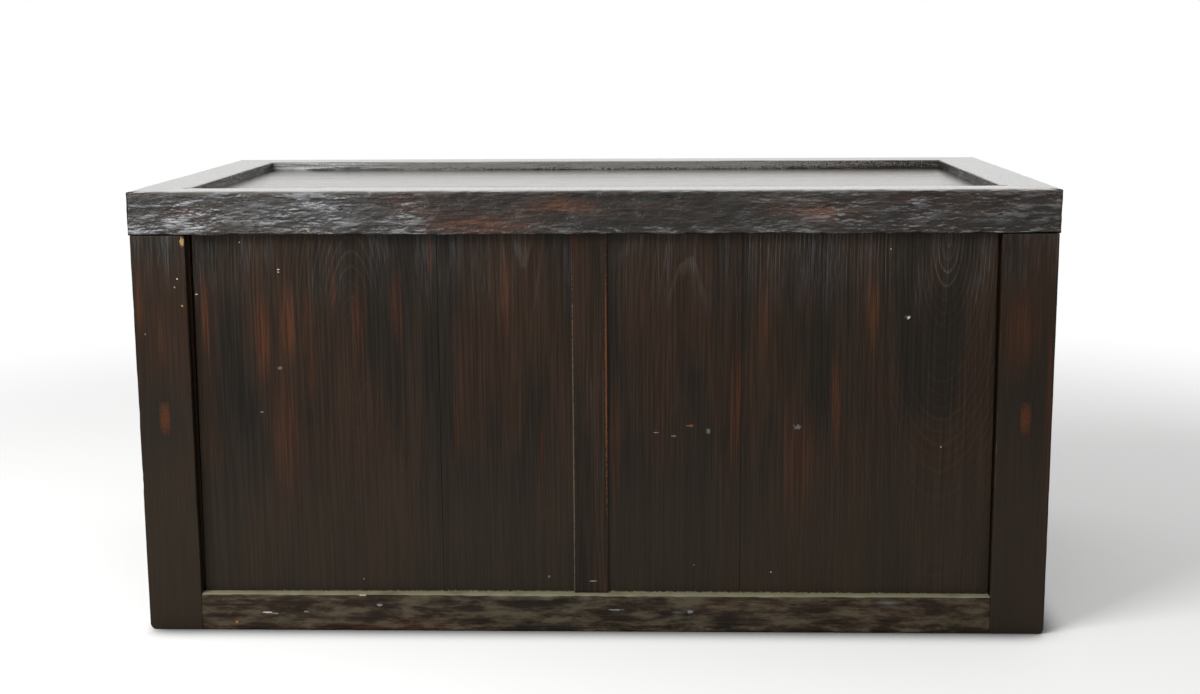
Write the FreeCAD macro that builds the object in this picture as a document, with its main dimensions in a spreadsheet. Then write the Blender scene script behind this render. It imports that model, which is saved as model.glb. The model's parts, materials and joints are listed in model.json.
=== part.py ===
"""Kang cabinet: a long low chest with a framed top, corner posts, sunk panels and two pivoting doors.

Millimetres, +Z up. The origin is on the floor under the middle of the top. The doors face -Y and the
panelled rear faces +Y. Left and right are those of someone who stands before the doors, so left is -X.
"""
import FreeCAD, Part
import os
import re
import Sketcher
from FreeCAD import Placement, Rotation, Vector

# Driving dimensions

SIZES = [
    ("width", 1180, "top frame, end to end"),
    ("depth", 610, "top frame, front to back"),
    ("height", 580, "floor to the top of the frame"),
    ("top_thickness", 56, "height of the frame members of the top"),
    ("top_member_width", 68, "width of those members seen from above"),
    ("top_end_overhang", 2.5, "how far the top stands past the posts at each end"),
    ("top_face_overhang", 3, "how far the top stands past the posts at front and back"),
    ("top_sunk", 13, "how far the field of the top lies below its frame"),
    ("top_board_thickness", 16, "boards of the field"),
    ("top_tongue_thickness", 9, "upper part of the boards, which enters the frame"),
    ("top_tongue_length", 9, "how far it enters"),
    ("top_shoulder_gap", 1, "room between the lower part of the boards and the frame"),
    ("top_board_share", 0.34, "front and back board, share of the field's depth each"),
    ("corner_tenon_thickness", 14, "through tenon of the long member in the end member"),
    ("corner_tenon_width", 30, "the same tenon seen from above"),
    ("corner_tenon_cover", 19, "wood left between that tenon and the outer face"),
    ("corner_tenon_lift", 22, "from the underside of the frame to that tenon"),
    ("post_width", 70, "posts seen from the front"),
    ("post_depth", 58, "posts seen from the end"),
    ("foot_round", 9, "worn outer edge of each foot"),
    ("post_tenon_width", 18, "post tenons in the top, seen from the front"),
    ("post_long_tenon_depth", 24, "tenon that enters the long member"),
    ("post_short_tenon_depth", 16, "tenon that enters the end member"),
    ("post_tenon_margin", 12.5, "from the inner faces of the post to its tenons"),
    ("post_tenon_cover", 10, "from the outer faces of the post to its tenons"),
    ("post_tenon_length", 16, "how far they enter the top"),
    ("rail_height", 50, "bottom rails, which stand on the floor"),
    ("rail_depth", 46, "bottom rails at front and back, front to back"),
    ("end_rail_thickness", 45, "bottom and middle rails of the ends"),
    ("rail_tenon_thickness", 14, "tenons of all rails"),
    ("rail_tenon_margin", 7, "from the edges of a bottom rail to its tenon"),
    ("rail_tenon_setback", 13, "from the outer face to the tenon, bottom rails"),
    ("rail_tenon_length", 38, "bottom rails at front and back"),
    ("end_rail_tenon_length", 34, "bottom rails of the ends"),
    ("mid_rail_height", 50, "middle rails of the ends"),
    ("mid_rail_underside", 261, "floor to the underside of the middle rails"),
    ("mid_tenon_height", 44, "through tenon of a middle rail"),
    ("mid_tenon_setback", 26.5, "from the outer end face to that tenon"),
    ("panel_sunk", 13, "how far all outer panels lie behind the posts"),
    ("panel_thickness", 12, "boards of the rear and of the ends"),
    ("panel_tongue", 8, "how far the panels enter their frame"),
    ("panel_groove", 10, "depth of the grooves that hold them"),
    ("muntin_width", 45, "upright between the rear panels"),
    ("muntin_offset", 2.5, "from the middle of the cabinet to the middle of the muntin"),
    ("muntin_thickness", 25, "the same upright, front to back"),
    ("muntin_proud", 3, "how far it stands in front of the panels"),
    ("muntin_tenon_width", 21, "its tenons"),
    ("muntin_tenon_thickness", 9, "its tenons, front to back"),
    ("muntin_tenon_length", 18, "how far they enter the rails"),
    ("back_inner_board", 172, "rear board beside the muntin, its face in sight"),
    ("board_seam", 0.4, "open joint between neighbouring boards"),
    ("shrink_left_top", 3.5, "shrinkage gap of the left rear panel at its post, top"),
    ("shrink_left_bottom", 1.5, "the same gap at the bottom"),
    ("shrink_right_top", 6.5, "shrinkage gap of the right rear panel at its post, top"),
    ("shrink_right_bottom", 3.5, "the same gap at the bottom"),
    ("batten_width", 40, "battens of the top and of the floor"),
    ("batten_height", 24, "battens of the top, below the boards"),
    ("batten_key_foot", 20, "dovetail key in the boards, at its narrow side"),
    ("batten_key_head", 26, "the same key at its wide side"),
    ("batten_key_height", 5, "how far the key enters the boards"),
    ("batten_tenon_margin", 4, "from the edges of a batten to its tenon"),
    ("batten_tenon_length", 12, "how far it enters the rails"),
    ("batten_pitch", 300, "from one batten to the next"),
    ("floor_board_thickness", 14, "boards of the floor and of the shelf"),
    ("board_rebate", 10, "width of the rebates that carry these boards"),
    ("board_room", 1, "room round these boards"),
    ("floor_batten_height", 20, "battens under the floor"),
    ("shelf_bearer_width", 40, "bearer under the middle of the shelf"),
    ("shelf_bearer_height", 40, "the same bearer"),
    ("bearer_tenon_length", 8, "how far it enters the centre stile and the muntin"),
    ("bearer_tenon_width", 20, "its tenons"),
    ("bearer_tenon_margin", 6, "from its edges to its tenons"),
    ("shelf_front_room", 19, "from the doors to the shelf"),
    ("door_sunk", 14, "how far the doors lie behind the posts"),
    ("door_thickness", 26, "frames of the doors"),
    ("door_gap", 1.5, "room beside each door"),
    ("door_end_gap", 2, "room above and below each door"),
    ("door_stile_width", 55, "upright members of the doors"),
    ("door_top_rail_height", 55, "upper member of each door"),
    ("door_bottom_rail_height", 65, "lower member of each door"),
    ("door_tenon_length", 30, "how far the rails of a door enter its stiles"),
    ("door_tenon_thickness", 8, "these tenons"),
    ("door_tenon_margin", 12, "from the outer edge of the rail to its tenon"),
    ("door_panel_thickness", 10, "panel of each door"),
    ("door_panel_sunk", 8, "how far it lies behind the frame of the door"),
    ("door_batten_height", 36, "batten behind the panel of each door"),
    ("door_batten_end", 12, "how far it enters the stiles"),
    ("pivot_radius", 7.5, "wooden pivots of the doors"),
    ("pivot_top_length", 14, "upper pivot"),
    ("pivot_bottom_length", 12, "lower pivot"),
    ("pivot_room", 0.08, "room round the pivots"),
    ("pivot_end_room", 1, "room past the end of each pivot"),
    ("stile_lip", 10, "how far the centre stile reaches behind each door"),
    ("stile_lip_depth", 13.5, "those lips, front to back"),
    ("door_stop_gap", 0.5, "from a shut door to the lips"),
    ("centre_stile_width", 45, "centre stile between the doors"),
    ("centre_stile_proud", 3, "how far it stands in front of the doors"),
    ("stile_tenon_width", 30, "tenons of the centre stile"),
    ("stile_tenon_thickness", 12, "its tenons, front to back"),
    ("stile_tenon_length", 18, "how far they enter the rails"),
    ("plate_height", 150, "metal plates"),
    ("plate_width", 42, "plates of the doors"),
    ("centre_plate_width", 33, "plate of the centre stile"),
    ("plate_thickness", 1.2, "all plates"),
    ("plate_corner", 5, "rounded corners of the plates"),
    ("nail_radius", 0.8, "nails of the plates"),
    ("nail_length", 9, "nails, from head to point"),
    ("nail_head_radius", 2.5, "domed heads"),
    ("nail_inset", 6.5, "from the edges of a plate to its nails"),
    ("fixing_room", 0.1, "room round nails and staple legs"),
    ("staple_bend", 4, "bend of the staples, to the middle of the wire"),
    ("staple_leg", 14, "how far the legs enter the wood"),
    ("lock_wire", 2, "radius of the wire of the lock staples"),
    ("lock_span", 16, "from leg to leg of a lock staple"),
    ("lock_stand", 11, "from the plate of a door to the bow of its lock staple"),
    ("lock_lift", 42, "lock staples above the middle of the plates"),
    ("pull_wire", 1.8, "radius of the wire of the pull staples"),
    ("pull_span", 14, "from leg to leg of a pull staple"),
    ("pull_stand", 9.5, "from the plate to the bow of the pull staple"),
    ("pull_drop", 12, "pull staples below the middle of the plates"),
    ("pull_eye_wire", 1.7, "radius of the wire of the eye"),
    ("pull_eye_room", 0.3, "room between the eye and the staple"),
    ("pull_length", 30, "from the staple to the middle of the bulb"),
    ("pull_bulb", 5, "radius of the bulb"),
]
ALIASES = {name for name, _, _ in SIZES}

doc = FreeCAD.newDocument("kang_cabinet")
sheet = doc.addObject("Spreadsheet::Sheet", "Sizes")
for row, (name, number, meaning) in enumerate(SIZES, start=1):
    sheet.set(f"A{row}", meaning)
    sheet.set(f"B{row}", str(number))
    sheet.setAlias(f"B{row}", name)
doc.recompute()

NODES = []          # the finished pieces, in the order in which they are made
NEAR = 1e-6         # two lengths closer than this are the same


# Helpers. Every place and size is an expression in the aliases of the sheet.

def from_sheet(text):
    """Puts the name of the sheet before each alias in an expression."""
    return re.sub(r"[a-z_]+", lambda word: "Sizes." + word[0] if word[0] in ALIASES else word[0], text)


def bind(item, **expressions):
    for path, text in expressions.items():
        item.setExpression(path.replace("_at_", "Placement.Base."), from_sheet(text))


def place(item, x="0", y="0", z="0", turn=None):
    item.Placement = Placement(Vector(), turn or Rotation())
    bind(item, _at_x=x, _at_y=y, _at_z=z)
    return item


def flip(span, side):
    """A span as it lies on the right (side 1) or mirrored on the left (side -1)."""
    low, high = span
    return span if side > 0 else (f"-({high})", f"-({low})")


def flip_point(value, side):
    return value if side > 0 else f"-({value})"


def block(name, x, y, z):
    """A box between the low and the high end of three spans."""
    item = doc.addObject("Part::Box", name)
    bind(item, Length=f"({x[1]}) - ({x[0]})", Width=f"({y[1]}) - ({y[0]})", Height=f"({z[1]}) - ({z[0]})")
    return place(item, x[0], y[0], z[0])


AXIS_TURN = {
    "x": Rotation(Vector(0, 1, 0), 90),
    "y": Rotation(Vector(1, 0, 0), -90),
    "z": Rotation(),
}


def rod(name, radius, **where):
    """A cylinder: one of x, y and z is its span, the other two are the place of its axis."""
    (along,) = [axis for axis, value in where.items() if isinstance(value, tuple)]
    low, high = where[along]
    item = doc.addObject("Part::Cylinder", name)
    bind(item, Radius=radius, Height=f"({high}) - ({low})")
    return place(item, **{**where, along: low}, turn=AXIS_TURN[along])


def fuse(name, items):
    item = doc.addObject("Part::MultiFuse", name)
    item.Shapes = items
    item.Refine = True
    return item


def group(name, items):
    """Separate solids that share one name."""
    item = doc.addObject("Part::Compound", name)
    item.Links = items
    return item


def cut(name, stock, tools):
    item = doc.addObject("Part::Cut", name)
    item.Base = stock
    item.Tool = tools[0] if len(tools) == 1 else fuse(name + "_cuts", tools)
    item.Refine = True
    return item


def piece(item, name):
    """Names a finished piece."""
    item.Label = name
    NODES.append(item)
    return item


def origin_plane(body, role):
    (plane,) = [feature for feature in body.Origin.OriginFeatures if feature.Role == role]
    return plane


def outline(body, name, role, points):
    """A closed sketch with straight sides on an origin plane of its own body."""
    sketch = body.newObject("Sketcher::SketchObject", name)
    sketch.AttachmentSupport = (origin_plane(body, role), [""])
    sketch.MapMode = "FlatFace"
    count = len(points)
    for index in range(count):
        start = Vector(index, index * index, 0)
        end = Vector((index + 1) % count, ((index + 1) % count) ** 2, 0)
        sketch.addGeometry(Part.LineSegment(start, end), False)
    for index in range(count):
        sketch.addConstraint(Sketcher.Constraint("Coincident", index, 2, (index + 1) % count, 1))
    for index, point in enumerate(points):
        for kind, value in zip(("DistanceX", "DistanceY"), point):
            number = sketch.addConstraint(Sketcher.Constraint(kind, -1, 1, index, 1, 1.0))
            sketch.renameConstraint(number, f"{kind}_{index}")
            sketch.setExpression(f"Constraints.{kind}_{index}", from_sheet(value))
    return sketch


def padded(body, name, sketch, length, middle=False):
    pad = body.newObject("PartDesign::Pad", name)
    pad.Profile = sketch
    pad.SideType = "Symmetric" if middle else "One side"
    bind(pad, Length=length)
    return pad


def rounded(body, name, feature, radius, wanted):
    """Rounds the edges of the last feature whose middle passes a test."""
    doc.recompute()
    edges = feature.Shape.Edges
    chosen = [f"Edge{number}" for number, edge in enumerate(edges, start=1)
              if wanted(edge.CenterOfMass)]
    fillet = body.newObject("PartDesign::Fillet", name)
    fillet.Base = (feature, chosen)
    bind(fillet, Radius=radius)
    return fillet


def plan(corners):
    """The four corners of a rectangle, from its x and y spans."""
    (x_low, x_high), (y_low, y_high) = corners
    return [(x_low, y_low), (x_high, y_low), (x_high, y_high), (x_low, y_high)]


SIDES = (("left", -1), ("right", 1))
FACES = (("front", -1), ("back", 1))

# Shared places

end_out = "(width / 2 - top_end_overhang)"              # outer end face of the posts
face_out = "(depth / 2 - top_face_overhang)"            # outer front or rear face of the posts
post_in_x = f"({end_out} - post_width)"
post_in_y = f"({face_out} - post_depth)"
underside = "(height - top_thickness)"                  # of the top frame
top_in_x = "(width / 2 - top_member_width)"             # inner edges of the top frame
top_in_y = "(depth / 2 - top_member_width)"
field_top = "(height - top_sunk)"
field_bottom = f"({field_top} - top_board_thickness)"
panel_out_y = f"({face_out} - panel_sunk)"              # rear panels
panel_in_y = f"({panel_out_y} - panel_thickness)"
panel_out_x = f"({end_out} - panel_sunk)"               # panels of the ends
panel_in_x = f"({panel_out_x} - panel_thickness)"
mid_rail_top = "(mid_rail_underside + mid_rail_height)"
muntin_low_x = "(muntin_offset - muntin_width / 2)"
muntin_high_x = "(muntin_offset + muntin_width / 2)"
muntin_out_y = f"({panel_out_y} + muntin_proud)"
muntin_in_y = f"({muntin_out_y} - muntin_thickness)"
door_out_y = f"(door_sunk - {face_out})"                # outer face of the doors
door_in_y = f"({door_out_y} + door_thickness)"
pivot_y = f"({door_out_y} + door_thickness / 2)"
pivot_x = f"({post_in_x} - door_gap - door_thickness / 2)"
door_low_z = "(rail_height + door_end_gap)"
door_high_z = f"({underside} - door_end_gap)"
door_mid_z = f"(({door_low_z} + {door_high_z}) / 2)"
stile_out_y = f"({door_out_y} - centre_stile_proud)"    # outer face of the centre stile
lip_out_y = f"({door_in_y} + door_stop_gap)"
stile_in_y = f"({lip_out_y} + stile_lip_depth)"


# Grooves and rebates, each one cutter for all the members that it crosses

top_groove_x = f"({top_in_x} + top_tongue_length + top_shoulder_gap)"
top_groove_y = f"({top_in_y} + top_tongue_length + top_shoulder_gap)"
top_groove = block("top_groove", (f"-{top_groove_x}", top_groove_x), (f"-{top_groove_y}", top_groove_y),
                   (f"{field_top} - top_tongue_thickness", field_top))

groove_low_z = "(rail_height - panel_groove)"
groove_high_z = f"({underside} + panel_groove)"
back_grooves = [
    block("back_groove_left", (f"-({post_in_x} + panel_groove)", f"{muntin_low_x} + panel_groove"),
          (panel_in_y, panel_out_y), (groove_low_z, groove_high_z)),
    block("back_groove_right", (f"{muntin_high_x} - panel_groove", f"{post_in_x} + panel_groove"),
          (panel_in_y, panel_out_y), (groove_low_z, groove_high_z)),
]
end_levels = (
    ("lower", "rail_height", "mid_rail_underside"),
    ("upper", mid_rail_top, underside),
)
end_grooves = {}
for side_name, side in SIDES:
    end_grooves[side_name] = [
        block(f"end_groove_{side_name}_{level}", flip((panel_in_x, panel_out_x), side),
              (f"-({post_in_y} + panel_groove)", f"{post_in_y} + panel_groove"),
              (f"{low} - panel_groove", f"{high} + panel_groove"))
        for level, low, high in end_levels]

floor_rebate_x = f"({end_out} - end_rail_thickness + board_rebate)"
floor_rebate_y = f"({face_out} - rail_depth + board_rebate)"
floor_rebate = block(
    "floor_rebate", (f"-{floor_rebate_x}", floor_rebate_x), (f"-{floor_rebate_y}", floor_rebate_y),
    ("rail_height - floor_board_thickness", "rail_height"))
shelf_rebate = block(
    "shelf_rebate", (f"-{floor_rebate_x}", floor_rebate_x), (f"-{post_in_y}", post_in_y),
    (f"{mid_rail_top} - floor_board_thickness", mid_rail_top))


# Battens: three below the top, keyed into its boards, and three below the floor

def top_batten(number, x):
    body = doc.addObject("PartDesign::Body", f"top_batten_{number}")
    low = f"({field_bottom} - batten_height)"
    section = outline(body, f"batten_section_{number}", "XZ_Plane", [
        ("-batten_width / 2", low),
        ("batten_width / 2", low),
        ("batten_width / 2", field_bottom),
        ("batten_key_foot / 2", field_bottom),
        ("batten_key_head / 2", f"{field_bottom} + batten_key_height"),
        ("-batten_key_head / 2", f"{field_bottom} + batten_key_height"),
        ("-batten_key_foot / 2", field_bottom),
        ("-batten_width / 2", field_bottom)])
    padded(body, f"batten_length_{number}", section, f"2 * ({top_in_y} - top_shoulder_gap)", middle=True)
    tenon = outline(body, f"batten_tenon_{number}", "XZ_Plane", plan((
        ("-(batten_width / 2 - batten_tenon_margin)", "batten_width / 2 - batten_tenon_margin"),
        (f"{low} + batten_tenon_margin", f"{field_bottom} - batten_tenon_margin"))))
    padded(body, f"batten_tenons_{number}", tenon, f"2 * ({top_in_y} + batten_tenon_length)", middle=True)
    return place(body, x=x)


batten_places = ("-batten_pitch", "0", "batten_pitch")
top_battens = piece(group("top_battens", [top_batten(number, x) for number, x in
                                          enumerate(batten_places, start=1)]), "top_battens")


def floor_batten(number, x):
    top = "(rail_height - floor_board_thickness)"
    inside = f"({face_out} - rail_depth)"
    spans = (f"{x} - batten_width / 2", f"{x} + batten_width / 2")
    tenon = (f"{spans[0]} + batten_tenon_margin", f"{spans[1]} - batten_tenon_margin")
    low = f"({top} - floor_batten_height)"
    return fuse(f"floor_batten_{number}", [
        block(f"floor_batten_bar_{number}", spans, (f"-{inside}", inside), (low, top)),
        block(f"floor_batten_tenon_{number}", tenon,
              (f"-({inside} + batten_tenon_length)", f"{inside} + batten_tenon_length"),
              (f"{low} + batten_tenon_margin", f"{top} - batten_tenon_margin"))])


floor_battens = piece(group("floor_battens", [floor_batten(number, x) for number, x in
                                              enumerate(batten_places, start=1)]), "floor_battens")


# Field of the top: three boards along the cabinet

field_y = f"({top_in_y} - top_shoulder_gap)"
seam_y = f"({field_y} - 2 * {field_y} * top_board_share)"
tongue_x = f"({top_in_x} + top_tongue_length)"
tongue_y = f"({top_in_y} + top_tongue_length)"
body_x = f"({top_in_x} - top_shoulder_gap)"
board_outer_y = f"({seam_y} + board_seam / 2)"
board_inner_y = f"({seam_y} - board_seam / 2)"
top_board_spans = (
    # name, span of the tongue layer, span of the layer below it
    ("front", flip((board_outer_y, tongue_y), -1), flip((board_outer_y, field_y), -1)),
    ("middle", (f"-{board_inner_y}", board_inner_y), (f"-{board_inner_y}", board_inner_y)),
    ("back", (board_outer_y, tongue_y), (board_outer_y, field_y)),
)
for board_name, upper, lower in top_board_spans:
    stock = fuse(f"top_board_{board_name}_stock", [
        block(f"top_board_{board_name}_tongue", (f"-{tongue_x}", tongue_x), upper,
              (f"{field_top} - top_tongue_thickness", field_top)),
        block(f"top_board_{board_name}_body", (f"-{body_x}", body_x), lower,
              (field_bottom, f"{field_top} - top_tongue_thickness"))])
    piece(cut(f"top_board_{board_name}", stock, [top_battens]), f"top_board_{board_name}")


# Rails: the bottom frame and the middle rails of the ends, with their tenons

rail_stock = {}
for face_name, side in FACES:
    tenon_y = (f"{face_out} - rail_tenon_setback - rail_tenon_thickness", f"{face_out} - rail_tenon_setback")
    rail_stock[face_name] = fuse(f"bottom_rail_{face_name}_stock", [
        block(f"bottom_rail_{face_name}_bar", (f"-{post_in_x}", post_in_x),
              flip((f"{face_out} - rail_depth", face_out), side), ("0", "rail_height")),
        block(f"bottom_rail_{face_name}_tenon",
              (f"-({post_in_x} + rail_tenon_length)", f"{post_in_x} + rail_tenon_length"),
              flip(tenon_y, side), ("rail_tenon_margin", "rail_height - rail_tenon_margin"))])
for side_name, side in SIDES:
    tenon_x = (f"{end_out} - rail_tenon_setback - rail_tenon_thickness", f"{end_out} - rail_tenon_setback")
    rail_stock[side_name] = fuse(f"bottom_rail_{side_name}_stock", [
        block(f"bottom_rail_{side_name}_bar", flip((f"{end_out} - end_rail_thickness", end_out), side),
              (f"-{post_in_y}", post_in_y), ("0", "rail_height")),
        block(f"bottom_rail_{side_name}_tenon", flip(tenon_x, side),
              (f"-({post_in_y} + end_rail_tenon_length)", f"{post_in_y} + end_rail_tenon_length"),
              ("rail_tenon_margin", "rail_height - rail_tenon_margin"))])

mid_tenon_low_z = "(mid_rail_underside + (mid_rail_height - mid_tenon_height) / 2)"
mid_rails = {}
for side_name, side in SIDES:
    tenon_x = (f"{end_out} - mid_tenon_setback - rail_tenon_thickness", f"{end_out} - mid_tenon_setback")
    stock = fuse(f"side_mid_rail_{side_name}_stock", [
        block(f"side_mid_rail_{side_name}_bar", flip((f"{end_out} - end_rail_thickness", end_out), side),
              (f"-{post_in_y}", post_in_y), ("mid_rail_underside", mid_rail_top)),
        block(f"side_mid_rail_{side_name}_tenon", flip(tenon_x, side), (f"-{face_out}", face_out),
              (mid_tenon_low_z, f"{mid_tenon_low_z} + mid_tenon_height"))])
    mid_rails[side_name] = piece(
        cut(f"side_mid_rail_{side_name}", stock, end_grooves[side_name] + [shelf_rebate]),
        f"side_mid_rail_{side_name}")


# Posts: a rounded foot, two tenons into the top, mortises for the rails and grooves for the panels

tenon_inner_x = f"({post_in_x} + post_tenon_margin)"
tenon_outer_x = f"({end_out} - post_tenon_cover)"
tenon_inner_y = f"({post_in_y} + post_tenon_margin)"
tenon_outer_y = f"({face_out} - post_tenon_cover)"
long_tenon_x = (tenon_inner_x, f"{tenon_inner_x} + post_tenon_width")
long_tenon_y = (f"{tenon_outer_y} - post_long_tenon_depth", tenon_outer_y)
short_tenon_x = (f"{tenon_outer_x} - post_tenon_width", tenon_outer_x)
short_tenon_y = (tenon_inner_y, f"{tenon_inner_y} + post_short_tenon_depth")
post_tenon_z = (underside, f"{underside} + post_tenon_length")
post_tenons = []
for face_name, face_side in FACES:
    for side_name, side in SIDES:
        name = f"post_{face_name}_{side_name}"
        body = doc.addObject("PartDesign::Body", f"{name}_shaft")
        x_span = flip((post_in_x, end_out), side)
        y_span = flip((post_in_y, face_out), face_side)
        shaft = padded(body, f"{name}_pad", outline(body, f"{name}_plan", "XY_Plane", plan((x_span, y_span))),
                       underside)
        doc.recompute()
        outer_x = shaft.Shape.BoundBox.XMax if side > 0 else shaft.Shape.BoundBox.XMin
        rounded(body, f"{name}_foot", shaft, "foot_round",
                lambda middle, x=outer_x: abs(middle.z) < NEAR and abs(middle.x - x) < NEAR)
        long_tenon = block(f"{name}_long_tenon", flip(long_tenon_x, side), flip(long_tenon_y, face_side),
                           post_tenon_z)
        short_tenon = block(f"{name}_short_tenon", flip(short_tenon_x, side), flip(short_tenon_y, face_side),
                            post_tenon_z)
        post_tenons += [long_tenon, short_tenon]
        stock = fuse(f"{name}_stock", [body, long_tenon, short_tenon])
        tools = [rail_stock[face_name], rail_stock[side_name], mid_rails[side_name]] + end_grooves[side_name]
        if face_name == "back":
            tools = tools + back_grooves
        piece(cut(name, stock, tools), name)


# Muntin of the rear and centre stile of the front, tied at mid-height by the bearer of the shelf

shelf_under = f"({mid_rail_top} - floor_board_thickness)"
bearer_low_z = f"({shelf_under} - shelf_bearer_height)"
shelf_bearer = piece(fuse("shelf_bearer", [
    block("shelf_bearer_bar", ("-shelf_bearer_width / 2", "shelf_bearer_width / 2"),
          (stile_in_y, muntin_in_y), (bearer_low_z, shelf_under)),
    block("shelf_bearer_tenon", ("-bearer_tenon_width / 2", "bearer_tenon_width / 2"),
          (f"{stile_in_y} - bearer_tenon_length", f"{muntin_in_y} + bearer_tenon_length"),
          (f"{bearer_low_z} + bearer_tenon_margin", f"{shelf_under} - bearer_tenon_margin"))]),
    "shelf_bearer")

muntin_stock = fuse("back_muntin_stock", [
    block("back_muntin_bar", (muntin_low_x, muntin_high_x), (muntin_in_y, muntin_out_y),
          ("rail_height", underside)),
    block("back_muntin_tenon",
          ("muntin_offset - muntin_tenon_width / 2", "muntin_offset + muntin_tenon_width / 2"),
          (f"{muntin_in_y} + (muntin_thickness - muntin_tenon_thickness) / 2",
           f"{muntin_out_y} - (muntin_thickness - muntin_tenon_thickness) / 2"),
          ("rail_height - muntin_tenon_length", f"{underside} + muntin_tenon_length"))])
piece(cut("back_muntin", muntin_stock, back_grooves + [shelf_bearer]), "back_muntin")

stile_tenon_y = (f"({stile_out_y} + door_thickness / 2 - stile_tenon_thickness / 2)",
                 f"({stile_out_y} + door_thickness / 2 + stile_tenon_thickness / 2)")
stile_stock = fuse("front_centre_stile_stock", [
    block("centre_stile_bar", ("-centre_stile_width / 2", "centre_stile_width / 2"),
          (stile_out_y, stile_in_y), ("rail_height", underside)),
    block("centre_stile_lips",
          ("-(centre_stile_width / 2 + stile_lip)", "centre_stile_width / 2 + stile_lip"),
          (lip_out_y, stile_in_y), ("rail_height", underside)),
    block("centre_stile_tenon", ("-stile_tenon_width / 2", "stile_tenon_width / 2"), stile_tenon_y,
          ("rail_height - stile_tenon_length", f"{underside} + stile_tenon_length"))])


# Metalwork. A plate lies flat on its stile, held by four nails, and staples go through it into the wood.

bar_y = f"({door_out_y} - plate_thickness - lock_stand)"        # bows of all lock staples
pull_y = f"({door_out_y} - plate_thickness - pull_stand)"       # bows of the pull staples
lock_z = f"({door_mid_z} + lock_lift)"
pull_z = f"({door_mid_z} - pull_drop)"


def plate(name, x, surface, wide, tools):
    """A plate with rounded corners whose back lies on the surface at y."""
    body = doc.addObject("PartDesign::Body", f"{name}_sheet")
    spans = ((f"-({wide}) / 2", f"({wide}) / 2"), ("-plate_height / 2", "plate_height / 2"))
    pad = padded(body, f"{name}_pad", outline(body, f"{name}_outline", "XZ_Plane", plan(spans)),
                 "plate_thickness")
    rounded(body, f"{name}_corners", pad, "plate_corner",
            lambda middle: abs(abs(middle.x) - pad.Shape.BoundBox.XMax) < NEAR
            and abs(abs(middle.z) - pad.Shape.BoundBox.ZMax) < NEAR)
    place(body, x=x, y=surface, z=door_mid_z)
    return cut(name, body, tools)


def nails(name, x, surface, wide):
    """Four domed nails near the corners of a plate."""
    made = []
    for number, (across, up) in enumerate(((-1, -1), (1, -1), (1, 1), (-1, 1)), start=1):
        shank = rod(f"{name}_shank_{number}", "nail_radius", x="0", y=("0", "nail_length"), z="0")
        dome = doc.addObject("Part::Sphere", f"{name}_dome_{number}")
        bind(dome, Radius="nail_head_radius")
        dome.Angle1 = 0
        place(dome, turn=Rotation(Vector(1, 0, 0), 90))
        made.append(place(fuse(f"{name}_{number}", [shank, dome]),
                          x=f"{x} + {across} * (({wide}) / 2 - nail_inset)",
                          y=f"{surface} - plate_thickness",
                          z=f"{door_mid_z} + {up} * (plate_height / 2 - nail_inset)"))
    return group(name, made)


def nail_holes(name, x, surface, wide):
    return [rod(f"{name}_nail_hole_{number}", "nail_radius + fixing_room",
                x=f"{x} + {across} * (({wide}) / 2 - nail_inset)",
                y=(f"{surface} - plate_thickness", f"{surface} - plate_thickness + nail_length"),
                z=f"{door_mid_z} + {up} * (plate_height / 2 - nail_inset)")
            for number, (across, up) in enumerate(((-1, -1), (1, -1), (1, 1), (-1, 1)), start=1)]


def staple(name, wire, span, bow_y, tip_y, x, z, upright):
    """Bent wire: a bow that stands clear of the plate between two legs that enter the wood."""
    reach = f"({tip_y}) - ({bow_y})"
    parts = [rod(f"{name}_bow", wire, x=(f"-(({span}) / 2 - staple_bend)", f"({span}) / 2 - staple_bend"),
                 y="0", z="0")]
    for number, (side, turn) in enumerate(((1, -90), (-1, 180)), start=1):
        parts.append(rod(f"{name}_leg_{number}", wire, x=f"{side} * ({span}) / 2", y=("staple_bend", reach),
                         z="0"))
        bend = doc.addObject("Part::Torus", f"{name}_bend_{number}")
        bind(bend, Radius1="staple_bend", Radius2=wire)
        bend.Angle3 = 90
        parts.append(place(bend, x=f"{side} * (({span}) / 2 - staple_bend)", y="staple_bend",
                           turn=Rotation(Vector(0, 0, 1), turn)))
    turn = Rotation(Vector(0, 1, 0), 90) if upright else Rotation()
    return place(fuse(name, parts), x=x, y=bow_y, z=z, turn=turn)


def leg_holes(name, wire, span, surface, tip_y, x, z, upright):
    """The two holes of a staple through plate and wood."""
    holes = []
    for number, side in enumerate((1, -1), start=1):
        step = f"{side} * ({span}) / 2"
        holes.append(rod(f"{name}_leg_hole_{number}", f"{wire} + fixing_room",
                         x=x if upright else f"{x} + {step}",
                         y=(f"{surface} - plate_thickness", tip_y),
                         z=f"{z} + {step}" if upright else z))
    return holes


# Centre stile with its plate, staple and nails

centre_tip = f"({stile_out_y} + staple_leg)"
centre_holes = nail_holes("centre", "0", stile_out_y, "centre_plate_width") + leg_holes(
    "centre", "lock_wire", "lock_span", stile_out_y, centre_tip, "0", lock_z, upright=True)
piece(cut("front_centre_stile", stile_stock, [shelf_bearer] + centre_holes), "front_centre_stile")
piece(plate("centre_plate", "0", stile_out_y, "centre_plate_width", centre_holes), "centre_plate")
piece(staple("centre_lock_staple", "lock_wire", "lock_span", bar_y, centre_tip, "0", lock_z, upright=True),
      "centre_lock_staple")
piece(nails("centre_nails", "0", stile_out_y, "centre_plate_width"), "centre_nails")


# Bottom rails, cut for what they hold

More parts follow.
